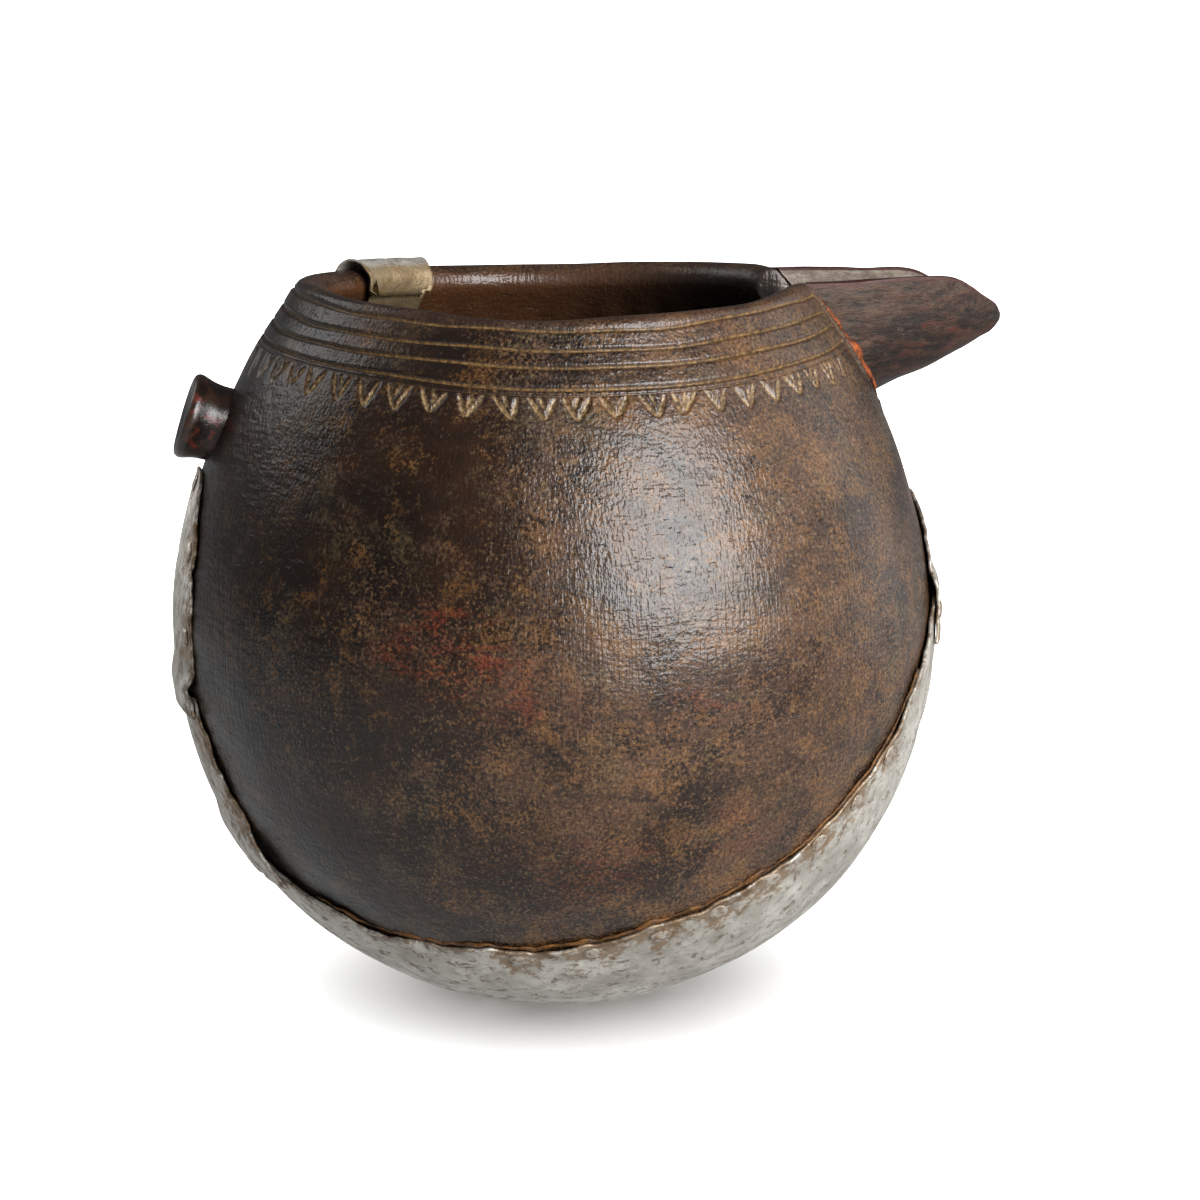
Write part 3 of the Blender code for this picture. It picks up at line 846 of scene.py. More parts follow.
def spout():
    """The open trough spout, from the neck to its blunt tip."""
    count = 2 * SPOUT_HALF_COUNT
    stations = 96

    def make_point(x):
        return spout_loop(np.broadcast_to(x, (count,)).astype(float))

    start = meets_neck(make_point, 0.0002)
    shares = 1 - (1 - np.arange(stations) / (stations - 1)) ** 1.25
    flat = np.concatenate([spout_loop(start + (SPOUT_TIP - start) * share) for share in shares])
    place = np.arange(count)
    middle = (SPOUT_HALF_COUNT - 1) / 2
    edge = np.abs(place % SPOUT_HALF_COUNT - middle) > middle - 1.5
    inner = np.tile((place >= SPOUT_HALF_COUNT).astype(float), stations)
    down = np.tile(u_shape(gutter_turns(SPOUT_HALF_COUNT), SPOUT_POWER)[1], 2)
    sway = 0.00025 * waves(flat, 0.022, 51) + 0.00012 * waves(flat, 0.009, 52)
    away = flat - np.array([0.085, 0, 0.172])
    away[:, 0] = 0
    away /= np.maximum(np.linalg.norm(away, axis=1, keepdims=True), 1e-6)
    reach = eased(flat[:, 0], 0.062, 0.072) * (1 - eased(flat[:, 0], 0.112, 0.118))
    flat = flat + away * (sway * reach * (1 - 0.7 * inner))[:, None]
    faces = grid_faces(stations, count, closed=True)
    root, tip = cap_faces(0, count)[:, ::-1], cap_faces((stations - 1) * count, count)
    faces = np.concatenate((faces, root, tip))
    # The flank band marks where shade is painted on the spout's outer sides.
    attributes = {
        "inner": inner,
        "edge": np.tile(edge.astype(float), stations),
        "root": 1 - eased(flat[:, 0], 0.070, 0.090),
        "brow": np.tile(bell(down, 0.12, 0.22), stations) * (1 - inner),
        "flank": np.tile(bell(down, 0.52, 0.22), stations) * (1 - inner),
    }
    made = mesh_piece("spout_beak", flat, faces[:, ::-1], None, attributes)
    bevel = made.modifiers.new("worn_edges", "BEVEL")
    bevel.width = 0.0006
    bevel.segments = 3
    bevel.limit_method = "ANGLE"
    bevel.angle_limit = math.radians(50)
    return made


def cap_faces(start, count):
    """Closes an end of a looped gutter between its outer and inner halves."""
    half = count // 2
    outer = start + np.arange(half)
    inner = start + count - 1 - np.arange(half)
    return np.stack((outer[:-1], inner[:-1], inner[1:], outer[1:]), axis=1)


# ---------------------------------------------------------------- lug


def lug():
    """Waisted round peg with a softly hollowed face, ending on the wall."""
    inward = np.array((math.cos(LUG_RISE), 0.0, -math.sin(LUG_RISE)))
    side = np.array((0.0, 1.0, 0.0))
    upward = np.cross(inward, side)
    depths, radii = np.array(LUG_PROFILE).T
    knots = np.linspace(0, 1, len(LUG_PROFILE))
    places = np.linspace(0.0, 1, 64)
    depth = smooth_through(knots, depths, places)
    radius = smooth_through(knots, radii, places)
    turns = np.linspace(0, math.tau, 96, endpoint=False)
    radius = np.maximum(radius, 0.00005)
    grid = np.zeros((len(places), len(turns), 3))
    for row, (deep, wide) in enumerate(zip(depth, radius)):
        uneven = 1 + 0.018 * np.sin(2 * turns + 0.6) + 0.012 * np.sin(5 * turns + deep * 90)
        spoke = np.outer(np.cos(turns), side) + np.outer(np.sin(turns), upward)
        grid[row] = np.array(LUG_FACE) + inward * deep + spoke * (wide * uneven)[:, None]
    depths = np.concatenate((np.repeat(depth, len(turns)), (0, 0.02)))
    # The foot share marks where shade is painted on the lug; the face share marks its end.
    attributes = {"foot": eased(depths, 0.0085, 0.0125), "face": 1 - eased(depths, 0.0006, 0.0016)}
    return closed_tube("turned_lug", stop_at_wall(grid, 0.0001), attributes)


def stop_at_wall(grid, gap):
    """Squeezes the back rows of a peg so that none goes past the wall."""
    for column in range(grid.shape[1]):
        line = grid[:, column]
        inside = np.hypot(line[:, 0], line[:, 1]) < radius_at(line[:, 2]) + gap
        if inside.any():
            first = int(np.argmax(inside))
            before, after = line[first - 1], line[first]
            for _ in range(24):
                middle = (before + after) / 2
                if math.hypot(middle[0], middle[1]) < float(radius_at(middle[2])) + gap:
                    after = middle
                else:
                    before = middle
            line[first:] = before
            origin = line[first - 6].copy()
            for step in range(6):
                line[first - 6 + step] = origin + (before - origin) * step / 6
    return grid


# ---------------------------------------------------------------- sheet metal


def bottom_edge(azimuth):
    """Polar angle of the bottom sheet's upper edge."""
    from_spout = np.abs((np.asarray(azimuth, float) + 180) % 360 - 180)
    tongue = TONGUE_RISE * np.exp(-((from_spout / TONGUE_WIDTH) ** 1.6))
    rise = LUG_SIDE_RISE * bell(from_spout, 180, LUG_SIDE_WIDTH)
    return np.minimum(SHEET_EDGE + tongue + rise, HIGHEST_EDGE)


def edge_waver(azimuth):
    """Small wander of the cut edge, in degrees of polar angle."""
    turn = np.radians(azimuth)
    waver = 0.35 * np.sin(9 * turn + 1) + 0.25 * np.sin(23 * turn + 2.2)
    return waver + 0.14 * np.sin(61 * turn) + 0.1 * np.sin(97 * turn + 1.3)


def hammered(points, seed, depth=0.00022):
    """Dents of several sizes over a sheet."""
    dents = np.maximum(waves(points, 0.012, seed), 0) ** 2 * 0.6
    dents += np.maximum(waves(points, 0.0062, seed + 1) - 0.4, 0) * 1.1
    return depth * (waves(points, 0.03, seed + 2) * 0.8 - dents)


def nail_seats():
    """(azimuth, polar angle, outset of the face under the head) of every nail."""
    single = WOOD_GAP + SHEET
    double = single + LAP_LIFT
    seats = []
    for azimuth in EDGE_NAILS:
        seats.append((azimuth, float(bottom_edge(azimuth)) - EDGE_NAIL_INSET, single))
    for side in (-1, 1):
        for polar in (64, 74):
            reach = lug_lower_half_angle(polar) - STRAP_NAIL_INSET
            seats.append((180 + side * reach, polar, single))
        for polar in (90, 102):
            reach = lug_upper_half_angle(polar) - STRAP_NAIL_INSET
            seats.append((180 + side * reach, polar, single))
        seats.append((side * 15, 91, double))
    seats.append((180, 111, single))
    seats.append((0, 102, single))
    return seats


def lug_lower_half_angle(polar):
    """Half the lower lug strap's width, in degrees of azimuth, at a polar angle."""
    return 14.8 + 0.43 * (80.8 - polar)


def lug_upper_half_angle(polar):
    """The same for the upper lug strap, which ends in a round point."""
    taper = np.maximum(polar - 86, 0) / 27.5
    return 15.4 * np.sqrt(np.maximum(1 - taper**2, 0.02))


def spout_strap_half_angle(polar):
    """The same for the strap under the spout."""
    taper = np.maximum(polar - 86, 0) / 21
    return 21 * np.sqrt(np.maximum(1 - taper**2, 0.03))


def near_nails(points):
    """Distance from each point to the nearest nail."""
    nearest = np.full(len(points), 1.0)
    for azimuth, polar, _ in nail_seats():
        nearest = np.minimum(nearest, np.linalg.norm(points - on_wall(azimuth, polar), axis=1))
    return nearest


def give_gauge(made, thickness):
    """Thickens an open skin outwards into sheet metal."""
    gauge = made.modifiers.new("gauge", "SOLIDIFY")
    gauge.thickness = thickness
    gauge.offset = 1.0
    gauge.use_even_offset = True
    return made


def sheet_piece(name, azimuths, polars, outsets, edge, seed, closed=False):
    """A hammered sheet over a grid of wall places; a closed one also covers the foot."""
    rows, columns = np.shape(azimuths)
    azimuths, polars, outsets, edge = [np.ravel(grid) for grid in (azimuths, polars, outsets, edge)]
    plain = on_wall(azimuths, polars)
    nearest = near_nails(plain)
    dents = hammered(plain, seed) - 0.00035 * bell(nearest, 0.0035, 0.0018)
    lift = np.maximum(outsets + dents * eased(polars, 12, 24), 0.00028)
    points = on_wall(azimuths, polars, lift)
    points[:, 2] = np.maximum(points[:, 2], SHEET)
    triangles = None
    attributes = {"edge": edge, "nail": np.clip(1 - nearest / 0.012, 0, 1)}
    if closed:
        triangles = fan(np.arange(columns), len(points))
        points = np.concatenate((points, [[0, 0, SHEET]]))
        attributes = {key: np.append(values, 0) for key, values in attributes.items()}
    faces = grid_faces(rows, columns, closed)
    return give_gauge(mesh_piece(name, points, faces, triangles, attributes), SHEET)


def bottom_sheet():
    """The sheet over the foot, with a tongue towards the spout and a rise at the lug."""
    azimuth = np.linspace(-180, 180, 420, endpoint=False)
    share = np.concatenate((np.linspace(0, 0.82, 46), np.linspace(0.82, 1, 24)[1:]))
    edge = bottom_edge(azimuth) + edge_waver(azimuth)
    azimuths, shares = np.meshgrid(azimuth, share)
    polars = SHEET_START + (edge - SHEET_START) * shares
    from_edge = (edge - polars) * math.radians(1) * BELLY_RADIUS
    rim = around(BELLY_RADIUS, CENTRE_HEIGHT, azimuth)
    curl = 0.00032 * np.maximum(waves(rim, 0.030, 63), 0) + 0.00012 * waves(rim, 0.010, 64)
    outsets = WOOD_GAP + curl * bell(from_edge, 0, 0.0022)
    stained = bell(from_edge, 0, 0.004)
    return sheet_piece("foot_sheet", azimuths, polars, outsets, stained, 60, closed=True)


def strap_piece(name, middle, polars, half_angle, lap, ragged, seed):
    """A strap up the wall, lifted below its lap; ragged moves its cut sides, in degrees."""
    sides, polar_grid = np.meshgrid(np.linspace(-1, 1, 64), polars)
    reach = half_angle(polar_grid) + ragged(polar_grid, sides)
    azimuths = middle + sides * reach
    across = (1 - np.abs(sides)) * np.radians(reach) * BELLY_RADIUS
    ends = np.minimum(polar_grid - polars[0], polars[-1] - polar_grid) * math.radians(1) * 0.1
    from_edge = np.minimum(across, ends)
    spots = around(BELLY_RADIUS, CENTRE_HEIGHT + polar_grid * 0.001, azimuths)
    curl = 0.00022 * waves(spots, 0.020, seed + 5) * bell(from_edge, 0, 0.0022)
    outsets = WOOD_GAP + LAP_LIFT * (1 - eased(polar_grid, *lap)) + curl
    return sheet_piece(name, azimuths, polar_grid, outsets, bell(from_edge, 0, 0.004), seed)


def lower_ragged(polar, side):
    """Wander of the lower lug strap's sides, in degrees."""
    return 0.25 * np.sin(polar * 1.1) + 0.15 * np.sin(polar * 3.3 + 2 * side)


def upper_ragged(polar, side):
    """Wander of the upper lug strap, torn near its foot and nicked above on one side."""
    seen = side > 0
    torn = -1.6 * bell(polar, 82.2, 1.1) - 0.9 * bell(polar, 99.5, 0.5)
    plain = 0.25 * np.sin(polar * 0.8 + 1) + 0.14 * np.sin(polar * 2.9)
    return plain + torn * seen


def spout_ragged(polar, side):
    """Wander of the spout strap's sides, in degrees."""
    return 0.3 * np.sin(polar * 0.9 + side) + 0.15 * np.sin(polar * 2.7)


def straps():
    """The three straps: (name, middle, polar angles, half angle, lap, ragged sides, seed)."""
    lower = np.linspace(53, 81, 70)
    upper = np.linspace(78.5, 113, 84)
    front = np.linspace(87, 107, 52)
    rows = (
        ("lug_strap_foot", 180, lower, lug_lower_half_angle, (59, 63), lower_ragged, 70),
        ("lug_strap_head", 180, upper, lug_upper_half_angle, (82, 86), upper_ragged, 76),
        ("spout_strap_skin", 0, front, spout_strap_half_angle, (94.5, 98), spout_ragged, 82),
    )
    return [strap_piece(*row) for row in rows]


def rim_clip():
    """Strip folded over the lip: long flange inside, short one outside."""
    gap = CLIP_GAP
    rows = []
    for drop in np.linspace(CLIP_INSIDE, 0.0025, 22):
        height = LIP_HEIGHT - drop
        rows.append((inner_radius_at(height) - gap, height))
    for turn in np.linspace(math.pi, 0, 20):
        rows.append(over_lip(turn, LIP_ACROSS + gap, LIP_ALONG + gap + CLIP_CROWN))
    for drop in np.linspace(0.0022, CLIP_OUTSIDE, 14)[1:]:
        height = LIP_HEIGHT - drop
        rows.append((radius_at(height) + gap * 1.2, height))
    path = np.array(rows)
    side = np.linspace(-1, 1, 56)
    ragged = 1 + 0.012 * waves(np.c_[path * 3, np.zeros(len(path))], 0.03, 91)
    tongue = 1 - 0.20 * (1 - eased(np.linspace(0, 1, len(path)), 0.36, 0.44))
    azimuths = CLIP_AZIMUTH + side[None, :] * CLIP_HALF_ANGLE * (ragged * tongue)[:, None]
    radius = np.repeat(path[:, :1], len(side), axis=1)
    height = np.repeat(path[:, 1:], len(side), axis=1)
    level = height - saddle(radius, height, azimuths)
    spots = around(radius, level, azimuths)
    order = np.linspace(0, 1, len(path))[:, None]
    inner = 1 - eased(order, 0.49, 0.53)
    wrinkle = 0.00022 * waves(spots, 0.010, 92) + 0.0003 * waves(spots, 0.022, 93)
    curl = 0.0009 * bell(side[None, :], 1, 0.10) + 0.0007 * bell(side[None, :], -1, 0.10)
    radius = radius - inner * (curl + np.abs(wrinkle)) + (1 - inner) * np.abs(wrinkle) * 0.5
    level = level + (curl * 0.5 + np.abs(wrinkle)) * bell(order, 0.54, 0.12)
    points = around(radius, level, azimuths).reshape(-1, 3)
    attributes = {
        "inner": np.repeat(1 - eased(order, 0.53, 0.58), len(side), axis=1),
        "edge": np.repeat(bell(np.abs(side), 1, 0.08)[None, :], len(path), axis=0),
        "nail": np.zeros((len(path), len(side))),
    }
    faces = grid_faces(len(path), len(side), closed=False)
    made = mesh_piece("folded_clip", points, faces[:, ::-1], None, attributes)
    return give_gauge(made, SHEET * 0.85)


def nail_head(number, seat):
    """A hammered, slightly oval head on a short shank."""
    rng = np.random.default_rng(200 + number)
    azimuth, polar, outset = seat
    normal = wall_normal(np.float64(azimuth), np.float64(polar))
    origin = on_wall(np.float64(azimuth), np.float64(polar)) + normal * (outset - 0.0002)
    side = np.cross(normal, (0, 0, 1.0))
    side /= np.linalg.norm(side)
    other = np.cross(normal, side)
    turns = np.linspace(0, math.tau, 28, endpoint=False)
    size = rng.uniform(0.90, 1.08)
    oval = rng.uniform(0.86, 1.0)
    tilt = rng.uniform(0, math.pi)
    rows = []
    for wide, high in NAIL_PROFILE:
        lumpy = 1 + 0.05 * np.sin(3 * turns + number) + 0.03 * np.sin(5 * turns + 2 * number)
        wobble = high * (1 + 0.12 * np.sin(2 * turns + number))
        x = wide * size * lumpy * np.cos(turns)
        y = wide * size * lumpy * oval * np.sin(turns)
        u = x * math.cos(tilt) - y * math.sin(tilt)
        v = x * math.sin(tilt) + y * math.cos(tilt)
        rows.append(origin + np.outer(u, side) + np.outer(v, other) + np.outer(wobble, normal))
    return closed_tube(f"nail_head_{number:02d}", np.array(rows), sharp=60)


# ---------------------------------------------------------------- pitch


def bead(name, path, radii, outward, flatten=0.6):
    """A lumpy bead of pitch along a path, flattened against the wall."""
    path = np.asarray(path)
    ahead = np.gradient(path, axis=0)
    ahead /= np.linalg.norm(ahead, axis=1, keepdims=True)
    side = np.cross(ahead, outward)
    side /= np.linalg.norm(side, axis=1, keepdims=True)
    turns = np.linspace(0, math.tau, 12, endpoint=False)
    ring = side[:, None] * np.cos(turns)[None, :, None]
    ring = ring + outward[:, None] * (np.sin(turns) * flatten)[None, :, None]
    points = path[:, None] + ring * radii[:, None, None]
    points[0] = path[0]
    points[-1] = path[-1]
    points = points.reshape(-1, 3)
    points = points + 0.00008 * waves(points, 0.003, 7)[:, None] * np.repeat(outward, 12, axis=0)
    return mesh_piece(name, points, grid_faces(len(path), 12, closed=True)[:, ::-1])


def edge_bead(name, side):
    """The line of pitch along one side of the bottom sheet's edge."""
    azimuth = side * np.linspace(29, 147, 420)
    polar = bottom_edge(azimuth) + edge_waver(azimuth) + 0.55
    path = on_wall(azimuth, polar, 0.00035)
    lump = 0.5 + 0.5 * waves(path, 0.009, 101)
    radii = 0.00028 + 0.00055 * np.clip(lump, 0, 1.2) ** 1.5
    return bead(name, path, radii, wall_normal(azimuth, polar))


def spout_bead():
    """The pitch in the seam between spout and neck, thickest low on its sides."""
    turn = np.linspace(0.02, math.pi - 0.02, 220)

    def make_point(x):
        x = np.broadcast_to(x, turn.shape).astype(float)
        point = gutter_point(x, turn)
        away = point - np.array((0, 0, 0.178))
        away[:, 0] = 0
        away /= np.linalg.norm(away, axis=1, keepdims=True)
        return point + away * 0.0005

    x = meets_neck(make_point, 0.0007)
    path = make_point(x)
    path = path + 0.0004 * waves(path, 0.008, 111)[:, None] * np.array((1, 0, 0))
    outward = path - np.array((0.03, 0, 0.168))
    outward /= np.linalg.norm(outward, axis=1, keepdims=True)
    thick = bell(path[:, 2], 0.1690, 0.0052) + 0.25 * bell(path[:, 2], 0.180, 0.006)
    radii = 0.00042 + 0.0013 * thick * np.clip(0.60 + 0.40 * waves(path, 0.009, 112), 0.15, 1.2)
    return bead("spout_pitch", path, radii, outward, flatten=0.8)


# ---------------------------------------------------------------- materials


def srgb(red, green, blue):
    """Linear colour of an 8-bit sRGB one."""
    linear = []
    for level in (red, green, blue):
        share = level / 255
        linear.append(share / 12.92 if share < 0.04045 else ((share + 0.055) / 1.055) ** 2.4)
    return (*linear, 1.0)


class Surface:
    """A procedural material: colours painted over each other, then bump and gloss."""

    def __init__(self, name, **settings):
        self.material = bpy.data.materials.new(name)
        self.material.use_nodes = True
        self.tree = self.material.node_tree
        self.shader = self.tree.nodes["Principled BSDF"]
        self.place = self.tree.nodes.new("ShaderNodeTexCoord").outputs["Object"]
        self.colour = None
        for socket, value in settings.items():
            self.shader.inputs[socket.replace("_", " ")].default_value = value

    def feed(self, socket, value):
        """Links a socket to another one, or sets it to a plain value."""
        if isinstance(value, bpy.types.NodeSocket):
            self.tree.links.new(value, socket)
        else:
            socket.default_value = value

    def noise(self, size, detail=5, rough=0.6, stretch=(1, 1, 1), shift=0.0, warp=0.0):
        """Noise whose features are about size metres, longer where stretch is small."""
        mapping = self.tree.nodes.new("ShaderNodeMapping")
        self.feed(mapping.inputs["Vector"], self.place)
        mapping.inputs["Scale"].default_value = stretch
        mapping.inputs["Location"].default_value = (shift, shift * 0.7, -shift)
        made = self.tree.nodes.new("ShaderNodeTexNoise")
        self.feed(made.inputs["Vector"], mapping.outputs[0])
        made.inputs["Scale"].default_value = 1 / size
        made.inputs["Detail"].default_value = detail
        made.inputs["Roughness"].default_value = rough
        made.inputs["Distortion"].default_value = warp
        return made.outputs[0]

    def attribute(self, name):
        """A value stored at the mesh's points."""
        made = self.tree.nodes.new("ShaderNodeAttribute")
        made.attribute_name = name
        return made.outputs["Fac"]

    def step(self, value, low, high, start=0.0, end=1.0):
        """Smooth step of a value between low and high, mapped to start and end."""
        made = self.tree.nodes.new("ShaderNodeMapRange")
        made.interpolation_type = "SMOOTHSTEP"
        self.feed(made.inputs["Value"], value)
        for socket, number in zip(made.inputs[1:5], (low, high, start, end)):
            socket.default_value = number
        return made.outputs[0]

    def maths(self, kind, first, second, clamp=False):
        made = self.tree.nodes.new("ShaderNodeMath")
        made.operation = kind
        made.use_clamp = clamp
        self.feed(made.inputs[0], first)
        self.feed(made.inputs[1], second)
        return made.outputs[0]

    def times(self, first, second):
        return self.maths("MULTIPLY", first, second)

    def plus(self, first, second, clamp=False):
        return self.maths("ADD", first, second, clamp)

    def mixed(self, share, first, second):
        """A blend of two colours, given as sockets or as 8-bit sRGB."""
        made = self.tree.nodes.new("ShaderNodeMix")
        made.data_type = "RGBA"
        self.feed(made.inputs["Factor"], share)
        for socket, colour in zip(made.inputs[6:8], (first, second)):
            self.feed(socket, srgb(*colour) if isinstance(colour, tuple) else colour)
        return made.outputs[2]

    def paint(self, mask, share, colour):
        """Lays a colour over what is there, as strongly as the mask times the share."""
        self.colour = self.mixed(self.times(mask, share), self.colour, colour)

    def bump(self, *layers):
        """Bump from (height, metres) layers, laid on each other."""
        normal = None
        for height, metres in layers:
            made = self.tree.nodes.new("ShaderNodeBump")
            made.inputs["Strength"].default_value = 1.0
            made.inputs["Distance"].default_value = metres
            self.feed(made.inputs["Height"], height)
            if normal is not None:
                self.feed(made.inputs["Normal"], normal)
            normal = made.outputs[0]
        self.feed(self.shader.inputs["Normal"], normal)
        self.feed(self.shader.inputs["Coat Normal"], normal)

    def finish(self, roughness):
        """Gives the shader the painted colour and its roughness."""
        self.feed(self.shader.inputs["Base Color"], self.colour)
        self.feed(self.shader.inputs["Roughness"], roughness)
        return self.material


def body_wood():
    """Patinated wood: dusty and grainy on its worn side, smooth and dark on the other."""
    s = Surface("patinated_wood", Specular_IOR_Level=0.30, Coat_Weight=0.36, Coat_Roughness=0.20)
    dusty, inside, soot, ring = [s.attribute(name) for name in ("dusty", "inside", "soot", "ring")]
    worn = s.step(dusty, 0.02, 0.22)
    grain = s.times(s.noise(0.00095, 4, 0.75, shift=8.1), 0.75)

    def patches(cloud, low, high, dust=0.0):
        """Where a cloud is thick, with grainy edges, and more of it on dusty wood."""
        return s.step(s.plus(s.plus(cloud, grain), s.times(dusty, dust)), low, high)

    blotch = s.noise(0.045, 5, 0.65, shift=3.1, warp=0.2)
    s.colour = s.mixed(s.step(blotch, 0.38, 0.66), (20, 12, 9), (44, 27, 17))
    brown = patches(s.noise(0.020, 6, 0.7, shift=15.0, warp=0.4), 0.93, 1.10, dust=0.26)
    s.paint(brown, 0.80, (84, 60, 44))
    ochre = patches(s.noise(0.011, 6, 0.72, shift=6.3, warp=0.5), 0.93, 1.05, dust=0.10)
    s.paint(ochre, 0.55, (116, 80, 43))
    olive = patches(s.noise(0.015, 6, 0.72, shift=31.0, warp=0.3), 0.92, 1.04)
    s.paint(olive, 0.45, (84, 74, 52))
    smear = s.noise(0.014, 6, 0.72, stretch=(0.6, 0.6, 1.4), shift=1.3, warp=0.5)
    s.paint(patches(smear, 0.88, 1.03), 0.62, (22, 15, 11))
    streak = s.noise(0.006, 6, 0.72, stretch=(0.6, 0.6, 1.6), shift=5.5)
    s.paint(s.times(s.attribute("red"), patches(streak, 0.83, 1.02)), 0.75, (112, 46, 27))
    fine = s.noise(0.00080, 3, 0.7, shift=40.0)
    s.paint(s.times(s.step(fine, 0.54, 0.36), worn), 0.66, (15, 10, 8))
    s.paint(s.times(s.step(fine, 0.54, 0.70), worn), 0.46, (136, 108, 76))
    scrape = s.noise(0.00080, 1, 0.5, stretch=(1, 1, 0.016), shift=4.4)
    scratch = s.step(scrape, 0.69, 0.80)
    s.paint(scratch, 0.30, (120, 98, 72))
    nick = s.step(s.noise(0.0011, 3, 0.6, stretch=(0.32, 0.32, 1.3), shift=21.0), 0.64, 0.70)
    s.paint(nick, 0.70, (36, 24, 15))
    s.paint(inside, 0.80, (76, 47, 28))
    # Painted shade: the inside of the mouth and the spout's throat are painted near black.
    s.paint(soot, 0.97, (10, 8, 6))
    s.paint(s.attribute("lip"), 0.45, (60, 42, 34))
    gritty = s.noise(0.0012, 6, 0.7, shift=9.0)
    gold = s.mixed(s.step(gritty, 0.35, 0.70), (58, 42, 24), (130, 99, 56))
    s.paint(s.step(ring, 0.28, 0.75), 1.0, gold)
    chalk = s.mixed(s.step(gritty, 0.38, 0.66), (72, 54, 34), (152, 126, 90))
    s.paint(s.step(s.attribute("notch"), 0.12, 0.50), 1.0, chalk)
    # Painted light: the trough's gate is painted pale grey.
    s.paint(s.attribute("gate"), 0.8, (140, 128, 116))
    rough = s.plus(s.times(brown, 0.10), s.step(smear, 0.3, 0.7, 0.34, 0.40))
    rough = s.plus(rough, s.times(soot, 0.4))
    rough = s.plus(rough, s.times(ring, 0.3), clamp=True)
    relief = s.noise(0.00075, 1, 0.5, shift=18.0)
    s.bump(
        (s.times(relief, s.plus(s.times(worn, 0.8), 0.2)), 0.00012),
        (s.noise(0.0014, 1, 0.5, stretch=(0.30, 0.30, 1), shift=13.0, warp=0.25), 0.00016),
        (scrape, 0.00016),
        (s.maths("SUBTRACT", s.times(scratch, 0.2), nick), 0.00012),
        (s.noise(0.0065, 4, 0.6, shift=12.0), 0.00030),
    )
    return s.finish(rough)


def spout_wood():
    """Reddish wood with long grain, a dusty upper side, painted shade along its outer flanks, and a
    trough painted pale for the light on its inside.
    """
    s = Surface("reddish_wood", Specular_IOR_Level=0.28, Coat_Weight=0.12, Coat_Roughness=0.28)
    edge = s.attribute("edge")
    long_grain = s.noise(0.0032, 7, 0.72, stretch=(0.12, 1, 1.2), shift=2.0, warp=0.3)
    s.colour = s.mixed(s.step(long_grain, 0.36, 0.66), (22, 13, 9), (66, 41, 30))
    red = s.noise(0.0045, 5, 0.65, stretch=(0.22, 1, 1.6), shift=4.0)
    s.paint(s.step(red, 0.54, 0.68), 0.46, (92, 38, 28))
    dark = s.noise(0.007, 6, 0.72, stretch=(0.5, 1, 1), shift=6.0)
    # Painted shade: the dark patches spread further along the spout's outer flanks.
    dark = s.plus(dark, s.times(s.attribute("flank"), 0.14))
    s.paint(s.step(dark, 0.54, 0.68), 0.74, (14, 9, 6))
    cloud = s.noise(0.0018, 7, 0.78, stretch=(0.45, 1, 1), shift=7.0)
    crown = s.plus(s.times(s.attribute("root"), 0.05), s.times(s.attribute("brow"), 0.08))
    s.paint(s.step(s.plus(cloud, crown), 0.54, 0.66), 0.38, (92, 74, 56))
    s.paint(edge, 0.7, (72, 36, 31))
    # Painted light: the trough's inside is painted pale grey.
    pale = s.mixed(s.step(cloud, 0.40, 0.64), (112, 98, 88), (158, 146, 134))
    s.paint(s.maths("SUBTRACT", s.attribute("inner"), edge, clamp=True), 0.9, pale)
    s.bump((long_grain, 0.00035), (cloud, 0.00020))
    return s.finish(s.step(cloud, 0.35, 0.65, 0.36, 0.52))


def lug_wood():
    """Polished dark wood with red patches, and painted shade at its foot against the wall."""
    s = Surface("lug_wood", Specular_IOR_Level=0.35, Coat_Weight=0.45, Coat_Roughness=0.16)
    cloud = s.noise(0.006, 6, 0.65, shift=2.5)
    s.colour = s.mixed(s.step(cloud, 0.38, 0.64), (22, 15, 11), (52, 34, 24))
    s.paint(s.step(s.noise(0.004, 4, 0.6, shift=5.0), 0.55, 0.66), 0.6, (112, 42, 32))
    # Painted shade: the foot of the lug, where it meets the wall, is painted darker.
    s.paint(s.attribute("foot"), 0.75, (30, 19, 13))
    s.paint(s.attribute("face"), 0.4, (70, 52, 42))
    s.bump((cloud, 0.00025), (s.noise(0.0012, 5, 0.7), 0.00008))
    return s.finish(s.step(cloud, 0.35, 0.65, 0.26, 0.38))


def sheet_metal(name="stained_aluminium", tarnish=0.0):
    """Dull aluminium with grey clouds, brown flecks, and stains at its nails and edges."""
    s = Surface(name, Metallic=0.55, Specular_IOR_Level=0.5)
    nail, edge = s.attribute("nail"), s.attribute("edge")
    cloud = s.noise(0.012, 6, 0.65, shift=1.0)
    s.colour = s.mixed(s.step(cloud, 0.34, 0.68), (170, 165, 155), (212, 208, 199))
    s.paint(s.step(s.noise(0.0042, 7, 0.72, shift=3.0), 0.50, 0.66), 0.55, (122, 112, 101))
    flake = s.noise(0.0034, 6, 0.72, stretch=(1, 1, 0.8), shift=5.0, warp=0.5)
    s.paint(s.step(flake, 0.555, 0.615), 0.72, (96, 78, 58))
    near = s.plus(s.times(nail, 0.30), s.times(edge, 0.10))
    stain = s.plus(s.noise(0.0030, 6, 0.7, shift=7.0), near)
    s.paint(s.step(stain, 0.62, 0.76), 0.75, (128, 98, 62))
    grime = s.plus(s.noise(0.0050, 5, 0.7, shift=9.0), s.times(edge, 0.22))
    s.paint(s.step(grime, 0.66, 0.80), 0.7, (96, 70, 46))
    if tarnish:
        s.paint(s.attribute("inner"), tarnish, (122, 98, 58))
    s.bump(
        (s.noise(0.0075, 3, 0.5, shift=11.0), 0.0006),
        (flake, 0.0004),
        (s.noise(0.0012, 4, 0.6), 0.00008),
    )
    return s.finish(s.step(flake, 0.4, 0.62, 0.40, 0.62))


